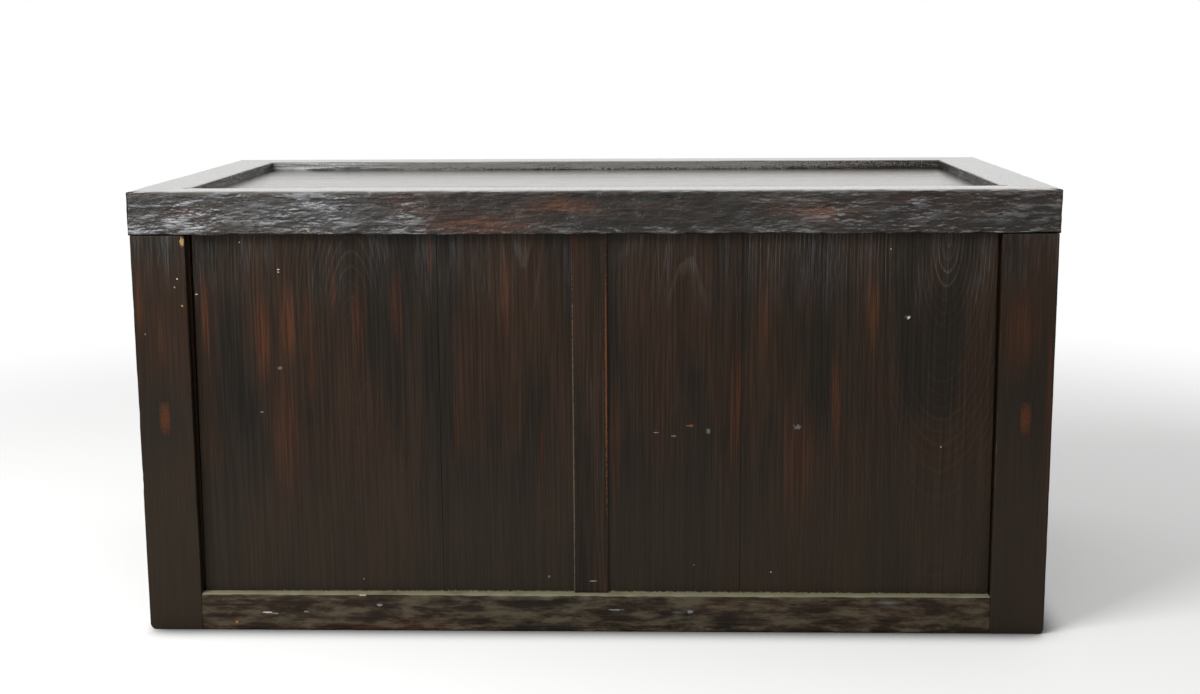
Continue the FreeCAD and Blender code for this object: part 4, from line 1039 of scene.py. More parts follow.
def marks_on(y, deep, rows):
    """Marks on a face at this y that reach this deep.

    A row is x, z, half width, half height, colour and edge. It may add its own depth and its own y.
    """
    found = []
    for x, z, wide, high, tone, core, *own in rows:
        own_deep = own[0] if own else 0.02 if core == SOFT else deep
        found.append(((x, own[1] if len(own) > 1 else y, z), (wide, own_deep, high), tone, core))
    return found


# %% [markdown]
# ## The top
# The top is a frame of four thick members round three sunk boards. Its rear edge is the most
# battered part of the cabinet: split, scraped and scuffed, with red wood showing in the middle,
# and its scuffs carry painted highlights. It gets the finest slices and the deepest tool marks.
# What faces up was wiped and polished.

# %% Marks on the rear edge of the top
rail_marks = marks_on(0.305, 0.004, [
    # A wide grey patch on the side that is left in the photograph is a painted sheen.
    (0.340, 0.553, 0.150, 0.040, colour(0.058, 0.058, 0.058), SOFT),
    (-0.270, 0.553, 0.090, 0.040, colour(0.054, 0.047, 0.040), SOFT),
    (0.565, 0.553, 0.050, 0.040, NIGHT, SOFT),
    (0.3574, 0.5301, 0.0020, 0.0016, colour(0.40, 0.27, 0.05), CRISP),
    (-0.0338, 0.5304, 0.006, 0.0035, colour(0.13, 0.12, 0.09), CRISP),
    (0.236, 0.566, 0.030, 0.012, ORANGE, SOFT), (0.205, 0.548, 0.050, 0.014, RED, SOFT),
    (0.145, 0.540, 0.050, 0.012, ORANGE, SOFT), (0.045, 0.562, 0.060, 0.016, ORANGE, SOFT),
    (-0.235, 0.555, 0.035, 0.014, RED, SOFT), (-0.285, 0.552, 0.040, 0.018, ORANGE, SOFT),
    (-0.320, 0.556, 0.030, 0.012, RED, SOFT), (0.520, 0.552, 0.035, 0.014, RED, SOFT),
    (-0.314, 0.549, 0.009, 0.0022, GREY, CRISP, 0.005),
    (-0.309, 0.543, 0.005, 0.0018, GREY, CRISP, 0.005)])
print("the rear edge has", len(rail_marks), "known marks")

# %% The long edges of the top
# On what faces up the pale bloom is partly a painted reflection.
TOP_WOOD = {"edge": 0.4, "polish": 0.85, "shine": 1.35, "gloss": 0.34, "bloom_and_reflection": BLOOM_AND_REFLECTION}
# Sheen bands brighten the scuffs with painted highlights: most on the side that is left in the photograph,
# less at the other end, and along the lower arris.
dressed("top_rail_back", X, (0, 0), (2.4, 5, 2.2), (3.4, 3.4, 3.4, 5.2), (0.3, 5.5, 0.10), (17, 5.5),
        lacquered("lacquer_top_rail_back", X, (0.0, 0.2, 0.50), lean=(0.02, 0.035), thin=0.5, edge=0.25,
                  figure=0.5, polish=0.85, tooled=1.0, shine=1.4, gloss=0.24, dust=0.5, bloom_and_reflection=BLOOM_AND_REFLECTION,
                  sheen_bands=((X, 0.19, 0.25, 1.15), (X, -0.17, -0.25, 0.40), (Z, 0.541, 0.531, 0.35)),
                  marks=rail_marks),
        knocks=knocks_on((-0.58, 0.3045, 0.528), (0.58, 0.3055, 0.576), (0.014, 0.01, 0.005), 2.2 * MM, 70),
        chips=chips_along(-0.58, 0.58, (1, 3, 1), 16 * MM, 5.0 * MM, 44), corner=4 * MM)
# The pale line along the inner top arris is a painted highlight, and the pale patch over the half that is left
# in the photograph is a painted reflection.
front_marks = [((0.0, -0.237, 0.5750), (0.62, 0.003, 0.010), colour(0.20, 0.195, 0.18), CRISP),
               ((0.42, -0.237, 0.5760), (0.26, 0.006, 0.016), colour(0.62, 0.66, 0.66), SOFT),
               ((0.03, -0.237, 0.5750), (0.12, 0.003, 0.010), colour(0.10, 0.07, 0.05), SOFT)]
# Its sheen band brightens the scuffs with painted highlights everywhere but at the end that is right in the
# photograph.
dressed("top_rail_front", X, (0, 0), (5, 5, 4), 2.2, (0.3, 2.0, 0.08), (34, 6),
        lacquered("lacquer_top_rail_front", X, (0.0, -0.2, 0.49), lean=(0.01, -0.02), thin=0.5, tooled=0.45,
                  dust=0.5, sheen_bands=((X, -0.9, -0.3, 0.35),), marks=front_marks, **TOP_WOOD),
        knocks=knocks_on((-0.58, -0.3055, 0.528), (0.58, -0.3045, 0.576), (0.014, 0.01, 0.005), 1.6 * MM, 40),
        chips=chips_along(-0.58, 0.58, (0, 2), 14 * MM, 3.0 * MM, 22), corner=4 * MM)

# %% The ends and the field of the top
for side, which in ((-1, "left"), (1, "right")):
    # A sheen band brightens the scuffs with painted highlights everywhere but near the front.
    dressed("top_end_" + which, Y, (0, 0), (5, 5, 4), 2.2, (2.0, 0.3, 0.08), (34, 6),
            lacquered("lacquer_top_end_" + which, Y, (0.5 * side, 0.0, 0.5), lean=(0.03, 0.0), thin=0.45,
                      tooled=0.7, dust=0.4, sheen_bands=((Y, -0.9, -0.2, 0.4),), **TOP_WOOD),
            chips=chips_along(-0.29, 0.29, (1, 3) if side > 0 else (0, 2), 12 * MM, 3.0 * MM, 14),
            corner=4 * MM)
for number, name in enumerate(("back", "middle", "front")):
    dressed("top_board_" + name, X, (0, 0), (9, 6, 8), 0.8, (0.0, 0.0, 0.10), (90, 16),
            lacquered("lacquer_top_board_" + name, X, (0.0, 0.15 - 0.15 * number, 0.5 - 0.02 * number),
                      lean=(0.0, 0.02), dust=1.0, bloom_and_reflection=BLOOM_AND_REFLECTION, thin=0.6, polish=0.95, shine=1.3))

# %% [markdown]
# ## Posts and rails
# Four posts carry the top, and rails near the floor tie them together. The posts are plain and
# dark. Where the panel has shrunk away beside them there is a slit, and the inner face of the post
# in it is painted near black as shade. The rails by the floor are dusty on their ledge, and stained
# by what ran down and dried.

# %% Marks on the posts and the rail by the floor
post_marks = {
    "post_back_right": marks_on(0.302, 0.003, [
        # Painted shade: the inner face of the post beside the panel, near black.
        (0.5168, 0.29, 0.0024, 0.40, colour(0.003, 0.003, 0.0025), CRISP, 0.0125, 0.288),
        (0.5205, 0.516, 0.0034, 0.0068, CHIP, CRISP, 0.006),
        (0.5287, 0.4687, 0.0014, 0.0010, WHITE, CRISP), (0.5240, 0.4338, 0.0016, 0.0016, CHIP, CRISP),
        (0.5325, 0.458, 0.0015, 0.0015, GREY, CRISP), (0.5735, 0.397, 0.0010, 0.0014, GREY, CRISP),
        (0.5800, 0.425, 0.006, 0.060, EMBER, SOFT),
        (0.5560, 0.390, 0.014, 0.080, colour(0.036, 0.015, 0.0075), SOFT),
        (0.553, 0.288, 0.046, 0.075, NIGHT, SOFT), (0.553, 0.515, 0.045, 0.035, NIGHT, SOFT)]),
    "post_back_left": marks_on(0.302, 0.003, [
        # Painted shade: the inner face of the post beside the panel, near black.
        (-0.5168, 0.29, 0.0024, 0.40, colour(0.003, 0.003, 0.0025), CRISP, 0.0125, 0.288),
        (-0.554, 0.300, 0.046, 0.100, NIGHT, SOFT), (-0.545, 0.40, 0.022, 0.060, RED, SOFT),
        (-0.583, 0.30, 0.006, 0.20, RED, SOFT), (-0.530, 0.50, 0.020, 0.050, NIGHT, SOFT)])}
low_rail_marks = marks_on(0.302, 0.004, [
    (0.430, 0.0240, 0.008, 0.0012, WHITE, CRISP), (0.420, 0.0225, 0.006, 0.0012, GREY, CRISP),
    (0.379, 0.0255, 0.004, 0.0012, GREY, CRISP),
    (0.4716, 0.0107, 0.0022, 0.0020, colour(0.32, 0.15, 0.035), CRISP),
    (0.304, 0.0490, 0.0060, 0.0024, colour(0.36, 0.32, 0.23), CRISP, 0.006, 0.301),
    (0.281, 0.035, 0.005, 0.002, GREY, CRISP), (-0.127, 0.028, 0.004, 0.003, GREY, CRISP),
    (-0.03, 0.030, 0.012, 0.0012, GREY, CRISP),
    (-0.385, 0.040, 0.020, 0.006, colour(0.12, 0.12, 0.105), SOFT),
    (-0.11, 0.026, 0.010, 0.008, colour(0.10, 0.095, 0.08), SOFT)])
print("the posts and the rail by the floor have", len(low_rail_marks) + sum(map(len, post_marks.values())),
      "known marks")

# %% Posts, and rails by the floor
for end, facing in (("back", 1), ("front", -1)):
    for side, which in ((-1, "left"), (1, "right")):
        node = f"post_{end}_{which}"
        # The sheen band near the top of each post is a painted sheen.
        dressed(node, Z, (0, 16), (5, 5, 6), 1.0, (0.12, 0.35, 0.1), (60, 7),
                lacquered("lacquer_" + node, Z, (0.5 * side, 0.22 * facing, 0.3), lean=(0.01 * side, 0.015),
                          thin=0.15, figure=0.3, edge=0.35, murk=0.35, calm=(Z, 0.42, 0.10),
                          sheen_bands=((Z, 0.43, 0.53, 0.45),), marks=post_marks.get(node, ()), streak=0.20),
                knocks=knocks_on((0.518 * side, 0.3015 * facing, 0.02), (0.587 * side, 0.3025 * facing, 0.51),
                                 (0.006, 0.01, 0.008), 1.0 * MM, 14),
                chips=chips_along(0.03, 0.5, (0, 1, 2, 3), 10 * MM, 1.8 * MM, 12))
    rail_low, rail_high = sorted((0.3015 * facing, 0.3025 * facing))
    dressed(f"bottom_rail_{end}", X, (38, 38), (4, 5, 3.5), (1.2, 1.2, 3.0, 3.0), (0.2, 0.9, 0.25), (40, 6),
            lacquered(f"lacquer_bottom_rail_{end}", X, (0.1, 0.2 * facing, -0.03), lean=(0.015, 0.0),
                      thin=0.3, figure=0.2, dust=1.2, edge=0.4, drips=0.8, murk=0.5,
                      marks=low_rail_marks if end == "back" else ()),
            knocks=knocks_on((-0.5, rail_low, 0.004), (0.5, rail_high, 0.046), (0.014, 0.01, 0.005),
                             1.2 * MM, 26),
            chips=chips_along(-0.5, 0.5, (1, 3) if end == "back" else (0, 2), 14 * MM, 3.5 * MM, 22))

# %% [markdown]
# ## The ends of the cabinet
# The photograph doesn't show the ends, only the tenons of a middle rail that come through the
# posts. So each end has an upper and a lower panel with that rail between them. They repeat the
# finish of the rear, a little plainer. The tenon's end shows reddish in the dark post.

# %% The ends
for side, which in ((-1, "left"), (1, "right")):
    dressed(f"bottom_rail_{which}", Y, (34, 34), (5, 5, 4), 2.0, (0.4, 0.2, 0.2), (50, 6),
            lacquered(f"lacquer_bottom_rail_{which}", Y, (0.5 * side, 0.1, -0.03), dust=0.9, drips=0.7))
    tenon_ends = [((0.5530 * side, 0.302 * face, 0.287), (0.010, 0.006, 0.026),
                   colour(0.062, 0.021, 0.008), FIRM) for face in (-1, 1)]
    dressed(f"side_mid_rail_{which}", Y, (58, 58), (5, 5, 4), 1.3, (0.3, 0.05, 0.2), (50, 6),
            lacquered(f"lacquer_mid_rail_{which}", Y, (0.54 * side, 0.0, 0.25), dust=0.36, thin=0.5,
                      ends=colour(0.024, 0.0125, 0.0075), marks=tenon_ends))
    for level, height in (("upper", 0.38), ("lower", 0.12)):
        # The sheen band of each side panel is a painted sheen that grows towards the top.
        dressed(f"side_panel_{which}_{level}", Y, (0, 0), (8, 9, 8), 0.3, (0.2, 0.0, 0.0), (90, 16),
                lacquered(f"lacquer_side_panel_{which}_{level}", Y, (0.50 * side, 0.05, height),
                          lean=(0.02, 0.015), ring=0.005, figure=0.6, sheen_bands=((Z, 0.05, 0.55, 0.3),)))

# %% [markdown]
# ## The muntin and the centre stile
# An upright bar divides the rear panels, and another stands between the doors. Both are narrow
# and straight-grained. The muntin has a pale line along one edge, which is a painted highlight,
# and a reddish one by the other.

# %% Muntin and centre stile
muntin_marks = marks_on(0.292, 0.004, [
    # Painted highlight: the pale line along one edge of the muntin.
    (0.0244, 0.22, 0.0013, 0.30, colour(0.085, 0.068, 0.048), CRISP),
    (-0.0188, 0.33, 0.0020, 0.20, colour(0.13, 0.045, 0.014), FIRM),
    (-0.0165, 0.30, 0.0007, 0.26, NIGHT, CRISP), (0.000, 0.066, 0.006, 0.0010, GREY, CRISP)])
dressed("back_muntin", Z, (18, 18), (3, 5, 6), 1.0, (0.1, 0.2, 0.0), (60, 7),
        lacquered("lacquer_back_muntin", Z, (0.04, 0.22, 0.3), lean=(0.0, 0.01), thin=0.3, edge=0.35,
                  marks=muntin_marks))
dressed("front_centre_stile", Z, (18, 18), (4, 5, 6), 0.9, (0.1, 0.2, 0.0), (60, 7),
        lacquered("lacquer_centre_stile", Z, (0.02, -0.22, 0.3), lean=(0.0, 0.01), thin=0.5, edge=0.5))

# %% [markdown]
# ## The rear panels
# Each sunk panel is two boards, and their pointed figures are the first thing one sees. Where a
# figure points, and how wide it opens, follow from where the pith of the log ran and how it
# leaned, so those are the numbers to set. A last row of dust lies along the foot.

# %% Pith and marks of each rear board
FOOT = (0.0, 0.0490, 0.60, 0.0032, DUST, FIRM, 0.004)
boards = {
    "right_outer": ((0.307, 0.297, 0.35), -0.26, 0.45, [
        (0.4900, 0.510, 0.045, 0.045, NIGHT, SOFT), (0.4600, 0.300, 0.050, 0.060, NIGHT, SOFT),
        (0.4013, 0.4790, 0.0022, 0.0009, WHITE, CRISP), (0.4013, 0.4755, 0.0018, 0.0008, WHITE, CRISP),
        (0.4037, 0.3505, 0.0034, 0.0028, PALE, FIRM), (0.4296, 0.2922, 0.0030, 0.0012, GREY, CRISP),
        (0.5085, 0.4470, 0.0020, 0.0011, WHITE, CRISP), (0.4500, 0.5140, 0.0010, 0.0008, WHITE, CRISP),
        (0.3031, 0.0666, 0.0012, 0.0012, GREY, CRISP), FOOT,
        (0.4260, 0.395, 0.0110, 0.070, EMBER, SOFT), (0.3920, 0.405, 0.0100, 0.060, EMBER, SOFT),
        (0.4980, 0.420, 0.0060, 0.060, EMBER, SOFT), (0.330, 0.450, 0.0060, 0.040, RED, SOFT),
        (0.3000, 0.420, 0.0120, 0.050, RED, SOFT), (0.4000, 0.250, 0.020, 0.12, RED, SOFT),
        (0.2500, 0.430, 0.010, 0.06, RED, SOFT)]),
    "right_inner": ((0.09, 0.235, 0.30), 0.04, 0.5, [
        FOOT, (0.058, 0.071, 0.002, 0.002, PALE, CRISP), (0.066, 0.21, 0.008, 0.09, RED, SOFT),
        (0.110, 0.44, 0.012, 0.06, RED, SOFT)]),
    "left_inner": ((-0.12, 0.222, 0.30), -0.05, 0.38, [
        FOOT, (-0.0825, 0.2655, 0.0040, 0.0008, GREY, CRISP),
        (-0.1060, 0.261, 0.0040, 0.0014, PALE, CRISP),
        (-0.1270, 0.2745, 0.0060, 0.0018, colour(0.13, 0.055, 0.02), CRISP),
        (-0.1500, 0.2680, 0.0036, 0.0050, PALE, FIRM), (-0.1320, 0.0875, 0.0012, 0.0010, GREY, CRISP),
        (-0.1860, 0.300, 0.010, 0.16, RED, SOFT), (-0.0300, 0.250, 0.006, 0.12, RED, SOFT)]),
    "left_outer": ((-0.452, 0.262, 0.425), 0.30, 1.1, [
        FOOT, (-0.4031, 0.4167, 0.0042, 0.0032, PALE, FIRM),
        (-0.4045, 0.4160, 0.0020, 0.0020, WHITE, CRISP), (-0.2650, 0.2730, 0.0060, 0.0045, PALE, FIRM),
        (-0.4497, 0.2471, 0.0010, 0.0009, WHITE, CRISP),
        (-0.3795, 0.5037, 0.0010, 0.0009, WHITE, CRISP),
        (-0.2332, 0.0786, 0.0010, 0.0010, WHITE, CRISP),
        (-0.5095, 0.4000, 0.0012, 0.0900, colour(0.06, 0.035, 0.02), SOFT, 0.004),
        (-0.3600, 0.430, 0.0090, 0.050, EMBER, SOFT), (-0.2200, 0.410, 0.0100, 0.060, RED, SOFT),
        (-0.2700, 0.220, 0.0300, 0.090, RED, SOFT), (-0.3150, 0.300, 0.0100, 0.080, RED, SOFT)])}
print("the rear boards have", sum(len(board[3]) for board in boards.values()), "known marks")

# %% The boards of the rear
for name, (pith, lean, figure, marks) in boards.items():
    # The sheen band near the top of each board is a painted sheen.
    dressed("back_board_" + name, Z, (0, 0), (5, 8, 7), 0.16, (0.0, 0.25, 0.0), (110, 18),
            lacquered("lacquer_back_board_" + name, Z, pith, lean=(lean, 0.01), ring=0.0050, thin=0.22,
                      figure=figure, edge=0.2, murk=0.75, calm=(Z, 0.30, 0.12),
                      sheen_bands=((Z, 0.40, 0.52, 0.34),), marks=marks_on(0.289, 0.003, marks)))

# %% [markdown]
# ## The doors
# The front isn't in the photograph. It repeats the rear: two frames with one board each, cut from
# the same kind of log. Each door's pieces ride on that door, so that it opens as a whole.

# %% The doors
for door, side in (("door_left", -1), ("door_right", 1)):
    for part, x in (("pivot_stile", 0.48), ("lock_stile", 0.05)):
        tenons = (12, 14) if part == "pivot_stile" else (0, 0)
        dressed(f"{door}_{part}", Z, tenons, (5, 5, 6), 0.9, (0.1, 0.2, 0.1), (60, 7),
                lacquered(f"lacquer_{door}_{part}", Z, (x * side, -0.22, 0.3), lean=(0.01, 0.01 * side),
                          thin=0.42, edge=0.45))
    for part, height in (("top_rail", 0.50), ("bottom_rail", 0.08)):
        dressed(f"{door}_{part}", X, (30, 30), (6, 5, 5), 0.9, (0.1, 0.2, 0.1), (60, 7),
                lacquered(f"lacquer_{door}_{part}", X, (0.0, -0.21, height), lean=(0.01, 0.01),
                          thin=0.4, dust=0.5))
    # The sheen band near the top of each door panel is a painted sheen.
    dressed(f"{door}_panel", Z, (0, 0), (6, 8, 7), 0.3, (0.0, 0.2, 0.0), (110, 18),
            lacquered(f"lacquer_{door}_panel", Z, (0.25 * side, -0.225, 0.3), lean=(-0.08, 0.01 * side),
                      ring=0.0050, thin=0.35, figure=0.6, sheen_bands=((Z, 0.34, 0.47, 0.4),)))
    dressed(f"{door}_batten", X, (0, 0), (8, 6, 6), 0.6, (0.1, 0.2, 0.1), (60, 7),
            bare_wood(f"bare_{door}_batten", X, (0.2, -0.24, 0.26)))

# %% [markdown]
# ## Inside
# A shelf, a floor and the battens that hold boards together. They are sawn and planed but never
# lacquered, so they take the bare wood, and their arrises are hardly worn.

# %% Inside
dressed("shelf_boards", X, (0, 0), (12, 8, 8), 0.5, (0.0, 0.1, 0.25), (90, 14),
        bare_wood("bare_shelf_boards", X, (0.0, 0.02, 0.24), lean=(0.0, 0.012)))
dressed("floor_boards", X, (0, 0), (12, 8, 8), 0.5, (0.0, 0.1, 0.25), (90, 14),
        bare_wood("bare_floor_boards", X, (0.0, 0.04, -0.04), lean=(0.0, -0.01)))
for name, height in (("shelf_bearer", 0.2), ("floor_battens", -0.02), ("top_battens", 0.5)):
    dressed(name, Y, (0, 0), (6, 8, 6), 0.7, (0.2, 0.0, 0.2), (60, 8),
            bare_wood("bare_" + name, Y, (0.01, 0, height)))

# %% [markdown]
# ## Old brass
# The plates, staples, nails and pulls are brass that was never polished. It turned brown, darkest
# in its hollows, and stayed bright where doors, pulls and fingers rub it. The tarnish is one
# node group. Each piece shifts it by a place of its own, so that no two pieces look the same.

# %% Tarnish group
tree, given, wanted = effect_group("tarnish", ("Place", "Worn"), ("Brown", "Specks", "Bright"))
slow = clouds(tree, given["Place"], 34.0, 5.0, 0.6)
fine = clouds(tree, given["Place"], 620.0, 3.0, 0.7)
rubs = clouds(tree, given["Place"], 110.0, 4.0, 0.65)
tree.links.new(between(tree, slow, 0.36, 0.64), wanted["Brown"])
tree.links.new(between(tree, fine, 0.56, 0.70), wanted["Specks"])
tree.links.new(times(tree, given["Worn"], between(tree, rubs, 0.34, 0.60)), wanted["Bright"])


# %% Old brass
def old_brass(node):
    """Brown, specked brass with bright rubbed places."""
    made, tree = new_finish("brass_" + node)
    shift = [draw.uniform(0.0, 2.0) for _ in range(3)]
    place = put(tree, "ShaderNodeMapping", {"Vector": put(tree, "ShaderNodeTexCoord").outputs["Object"],
                                            "Location": shift}).outputs[0]
    worn = put(tree, "ShaderNodeAttribute", attribute_name="worn").outputs["Fac"]
    hollow = put(tree, "ShaderNodeAttribute", attribute_name="hollow").outputs["Fac"]
    tarnish = group(tree, "tarnish", place=place, worn=worn)
    skin = over(tree, tarnish["Brown"], colour(0.31, 0.200, 0.082), colour(0.170, 0.106, 0.048))
    skin = over(tree, times(tree, tarnish["Specks"], 0.55), skin, colour(0.060, 0.050, 0.030))
    skin = over(tree, between(tree, hollow, 0.04, 0.50, 0.0, 0.85), skin, colour(0.050, 0.036, 0.022))
    skin = over(tree, tarnish["Bright"], skin, colour(0.58, 0.42, 0.20))
    rough = plus(tree, times(tree, tarnish["Brown"], 0.16), 0.33)
    rough = plus(tree, rough, times(tree, tarnish["Specks"], 0.18))
    rough = minus(tree, rough, times(tree, tarnish["Bright"], 0.12))
    bump = put(tree, "ShaderNodeBump", {"Height": tarnish["Specks"], "Strength": 0.3, "Distance": -0.08 * MM})
    metal = put(tree, "ShaderNodeBsdfPrincipled", {"Base Color": skin, "Roughness": rough, "Metallic": 1.0,
                                                   "Normal": bump.outputs[0]})
    put(tree, "ShaderNodeOutputMaterial", {"Surface": metal.outputs[0]})
    return made


# %% [markdown]
# ## Hammered plates
# A smith beats a plate flat by hand. Its face keeps shallow hammer marks about a fingertip apart
# and its edges are filed soft. It is aged like a timber, only in tenths of a millimetre.

# %% Plates
for node in ("centre_plate", "door_left_plate", "door_right_plate"):
    dressed(node, Z, (0, 0), (1.7, 1.0, 1.7), 0.5, (0.0, 0.42, 0.0), (8, 8), old_brass(node))

# %% [markdown]
# ## Forged wire and turned pulls
# The staples are bent from forged wire, so their thickness varies a little. The pulls were turned
# on a lathe: rings were cut round the neck, and the bulb is worn bright at its lower half. Both
# start as copies of their CAD solids, the pulls sliced across, and metal is only taken away.

# %% Staples and pulls
TURNED_STEP = 0.4 * MM


def smithed(node, dent, grooves=(), bright=None):
    """A copy of a CAD solid with forged unevenness, turned grooves and a place that is rubbed bright."""
    shape = bmesh.new()
    shape.from_mesh(frame["nodes"][node].data)
    bmesh.ops.remove_doubles(shape, verts=shape.verts, dist=WELD)
    if grooves:
        low, high = (pick(vert.co.z for vert in shape.verts) for pick in (min, max))
        for height in np.arange(low + TURNED_STEP, high, TURNED_STEP):
            bmesh.ops.bisect_plane(shape, geom=shape.verts[:] + shape.edges[:] + shape.faces[:],
                                   dist=0.01 * MM, plane_co=(0, 0, height), plane_no=(0, 0, 1))
    shape.normal_update()
    points = np.array([vert.co for vert in shape.verts])
    normals = np.array([vert.normal for vert in shape.verts])
    cut = dent * MM * hills(points, 2.4 * MM, draw.randrange(9000))
    dark, worn = np.zeros(len(points)), np.full(len(points), 0.25)
    for height, depth, width in grooves:
        reach = np.exp(-((points[:, 2] - height) / (width * MM)) ** 2)
        cut += depth * MM * reach
        dark = np.maximum(dark, reach)
    if bright:
        centre, size = bright
        worn = np.maximum(worn, np.exp(-((points - np.array(centre)) ** 2).sum(axis=1) / size ** 2))
    for vert, place, normal, depth in zip(shape.verts, points, normals, cut):
        vert.co = place - normal * depth
    mesh = bpy.data.meshes.new("smithed_" + node)
    shape.to_mesh(mesh)
    shape.free()
    write_wear(mesh, worn, dark)
    smoothed(mesh, SHARP_METAL, old_brass(node))
    take_place(mesh, "smithed_" + node, node)


def middle_of(node):
    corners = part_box(node)
    return [(low + high) / 2 for low, high in zip(*corners)]


for node in ("centre_lock_staple", "door_left_lock_staple", "door_right_lock_staple",
             "door_left_pull_staple", "door_right_pull_staple"):
    bow = middle_of(node)
    bow[1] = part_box(node)[0][1]
    smithed(node, 0.16, bright=(bow, 7 * MM))
for node in ("door_left_pull", "door_right_pull"):
    foot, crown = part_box(node)[0][2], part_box(node)[1][2]
    bulb = middle_of(node)
    bulb[2] = foot + 3 * MM
    smithed(node, 0.06, grooves=[(crown - 10.0 * MM, 0.30, 0.35), (crown - 11.6 * MM, 0.30, 0.35),
                                 (foot + 11.0 * MM, 0.45, 0.40), (foot + 12.6 * MM, 0.45, 0.40),
                                 (foot + 9.4 * MM, 0.40, 0.35)], bright=(bulb, 5 * MM))

# %% [markdown]
# ## Nails
# Four forged nails hold each plate. A smith makes each head with a few blows, so it is a low
# faceted dome on a square shank. One nail is built, and Geometry Nodes sets it at the corners of
# each plate, turned and sized a little differently every time.

# %% One forged nail
HEAD, SHANK, LENGTH = 2.5 * MM, 0.72 * MM, 9.0 * MM
SIDES, HEAD_RINGS = 16, 6
profile = ([(-HEAD * math.sin(turn), HEAD * math.cos(turn)) for turn in np.radians((78, 60, 42, 24, 9))]
           + [(0.0, HEAD * 0.98), (0.05 * MM, SHANK), (LENGTH * 0.55, SHANK * 0.9),
              (LENGTH * 0.9, SHANK * 0.45)])
nail = bmesh.new()
rings = []
for level, (depth, radius) in enumerate(profile):
    ring = []
    for step in range(SIDES):
        turn = math.tau * step / SIDES
        if level < HEAD_RINGS:
            blow = 1.0 - 0.05 * draw.random()
        else:
            blow = 1.0 - 0.12 * math.sin(2 * turn) ** 2
        ring.append(nail.verts.new((radius * blow * math.cos(turn), depth, radius * blow * math.sin(turn))))
    rings.append(ring)
top, point = nail.verts.new((0, -HEAD * 0.985, 0)), nail.verts.new((0, LENGTH * 0.98, 0))
for first, second in zip(rings, rings[1:]):
    for step in range(SIDES):
        after = (step + 1) % SIDES
        nail.faces.new((first[step], first[after], second[after], second[step]))
for step in range(SIDES):
    after = (step + 1) % SIDES
    nail.faces.new((rings[0][after], rings[0][step], top))
    nail.faces.new((rings[-1][step], rings[-1][after], point))
bmesh.ops.recalc_face_normals(nail, faces=nail.faces)
nail_mesh = bpy.data.meshes.new("forged_nail")
nail.to_mesh(nail_mesh)
nail.free()
write_wear(nail_mesh, [1.0 if vert.co.y < -0.8 * HEAD else 0.2 for vert in nail_mesh.vertices],
           [0.4 if vert.co.y > -0.25 * HEAD else 0.0 for vert in nail_mesh.vertices])
nail_mesh.polygons.foreach_set("use_smooth", [True] * len(nail_mesh.polygons))
pattern = bpy.data.objects.new("forged_nail", nail_mesh)
print("one nail has", len(nail_mesh.polygons), "faces")

# %% [markdown]
# ## Setting the nails
# Four nails could be copied by hand, but a Geometry Nodes tree does it for any plate. A grid of
# two by two points, inset from the plate's edges, holds the nails, and each is turned and sized
# at random. The tree ends by making the copies real and giving them their material.

# %% Geometry nodes that nail a plate
nailing = bpy.data.node_groups.new("nail_a_plate", "GeometryNodeTree")
for label, kind in (("Width", "Float"), ("Height", "Float"), ("Inset", "Float"), ("Centre", "Vector"),
                    ("Nail", "Object"), ("Finish", "Material"), ("Seed", "Int")):
    nailing.interface.new_socket(name=label, in_out="INPUT", socket_type="NodeSocket" + kind)
nailing.interface.new_socket(name="Geometry", in_out="OUTPUT", socket_type="NodeSocketGeometry")
given = nailing.nodes.new("NodeGroupInput").outputs
both = times(nailing, given["Inset"], 2.0)
corners = put(nailing, "GeometryNodeMeshGrid", {"Size X": minus(nailing, given["Width"], both),
                                                "Size Y": minus(nailing, given["Height"], both),
                                                "Vertices X": 2, "Vertices Y": 2})
stood = put(nailing, "GeometryNodeTransform", {"Geometry": corners.outputs["Mesh"],
                                               "Translation": given["Centre"],
                                               "Rotation": (math.pi / 2, 0.0, 0.0)})
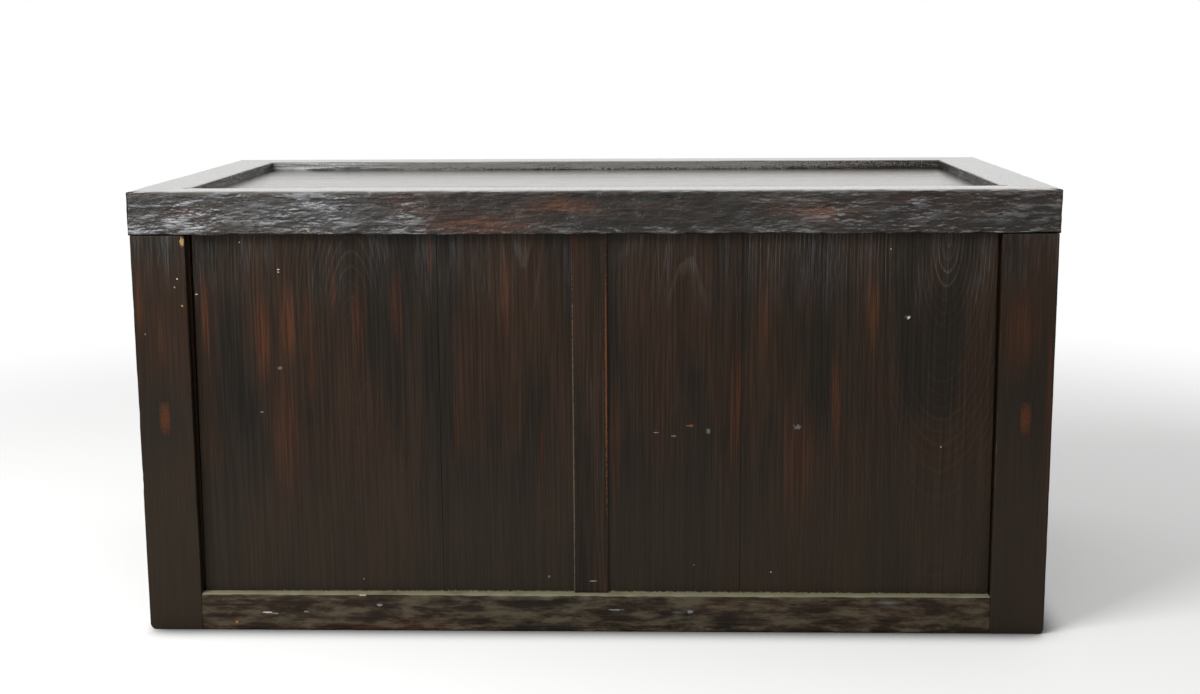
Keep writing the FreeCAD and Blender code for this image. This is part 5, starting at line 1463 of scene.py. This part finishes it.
turned = put(nailing, "FunctionNodeRandomValue", data_type="FLOAT_VECTOR")
turned.inputs["Min"].default_value = (0.0, 0.0, 0.0)
turned.inputs["Max"].default_value = (0.0, math.tau, 0.0)
nailing.links.new(given["Seed"], turned.inputs["Seed"])
sized = put(nailing, "FunctionNodeRandomValue", data_type="FLOAT")
sized.inputs[2].default_value, sized.inputs[3].default_value = 0.93, 1.0
nailing.links.new(given["Seed"], sized.inputs["Seed"])
shape = put(nailing, "GeometryNodeObjectInfo", {"Object": given["Nail"]})
placed = put(nailing, "GeometryNodeInstanceOnPoints",
             {"Points": stood.outputs[0], "Instance": shape.outputs["Geometry"],
              "Rotation": turned.outputs[0], "Scale": sized.outputs[1]})
real = put(nailing, "GeometryNodeRealizeInstances", {"Geometry": placed.outputs[0]})
done = put(nailing, "GeometryNodeSetMaterial", {"Geometry": real.outputs[0], "Material": given["Finish"]})
nailing.links.new(done.outputs[0], nailing.nodes.new("NodeGroupOutput").inputs["Geometry"])
sockets = {item.name: item.identifier for item in nailing.interface.items_tree if item.in_out == "INPUT"}
print("a nailed plate is told its", ", ".join(sockets))

# %% Nails in every plate
NAIL_INSET = 6.5 * MM
for seed, owner in enumerate(("centre", "door_left", "door_right")):
    low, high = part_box(owner + "_plate")
    holder = bpy.data.objects.new("nails_to_place", bpy.data.meshes.new("nails_to_place"))
    bpy.context.scene.collection.objects.link(holder)
    modifier = holder.modifiers.new("nails", "NODES")
    modifier.node_group = nailing
    centre = ((low[0] + high[0]) / 2, low[1], (low[2] + high[2]) / 2)
    for label, value in (("Width", high[0] - low[0]), ("Height", high[2] - low[2]), ("Inset", NAIL_INSET),
                         ("Centre", centre), ("Nail", pattern), ("Finish", old_brass(owner + "_nails")),
                         ("Seed", seed)):
        modifier[sockets[label]] = value
    shown = holder.evaluated_get(bpy.context.evaluated_depsgraph_get())
    mesh = bpy.data.meshes.new_from_object(shown)
    bpy.data.objects.remove(holder)
    take_place(mesh, f"forged_{owner}_nails", owner + "_nails")
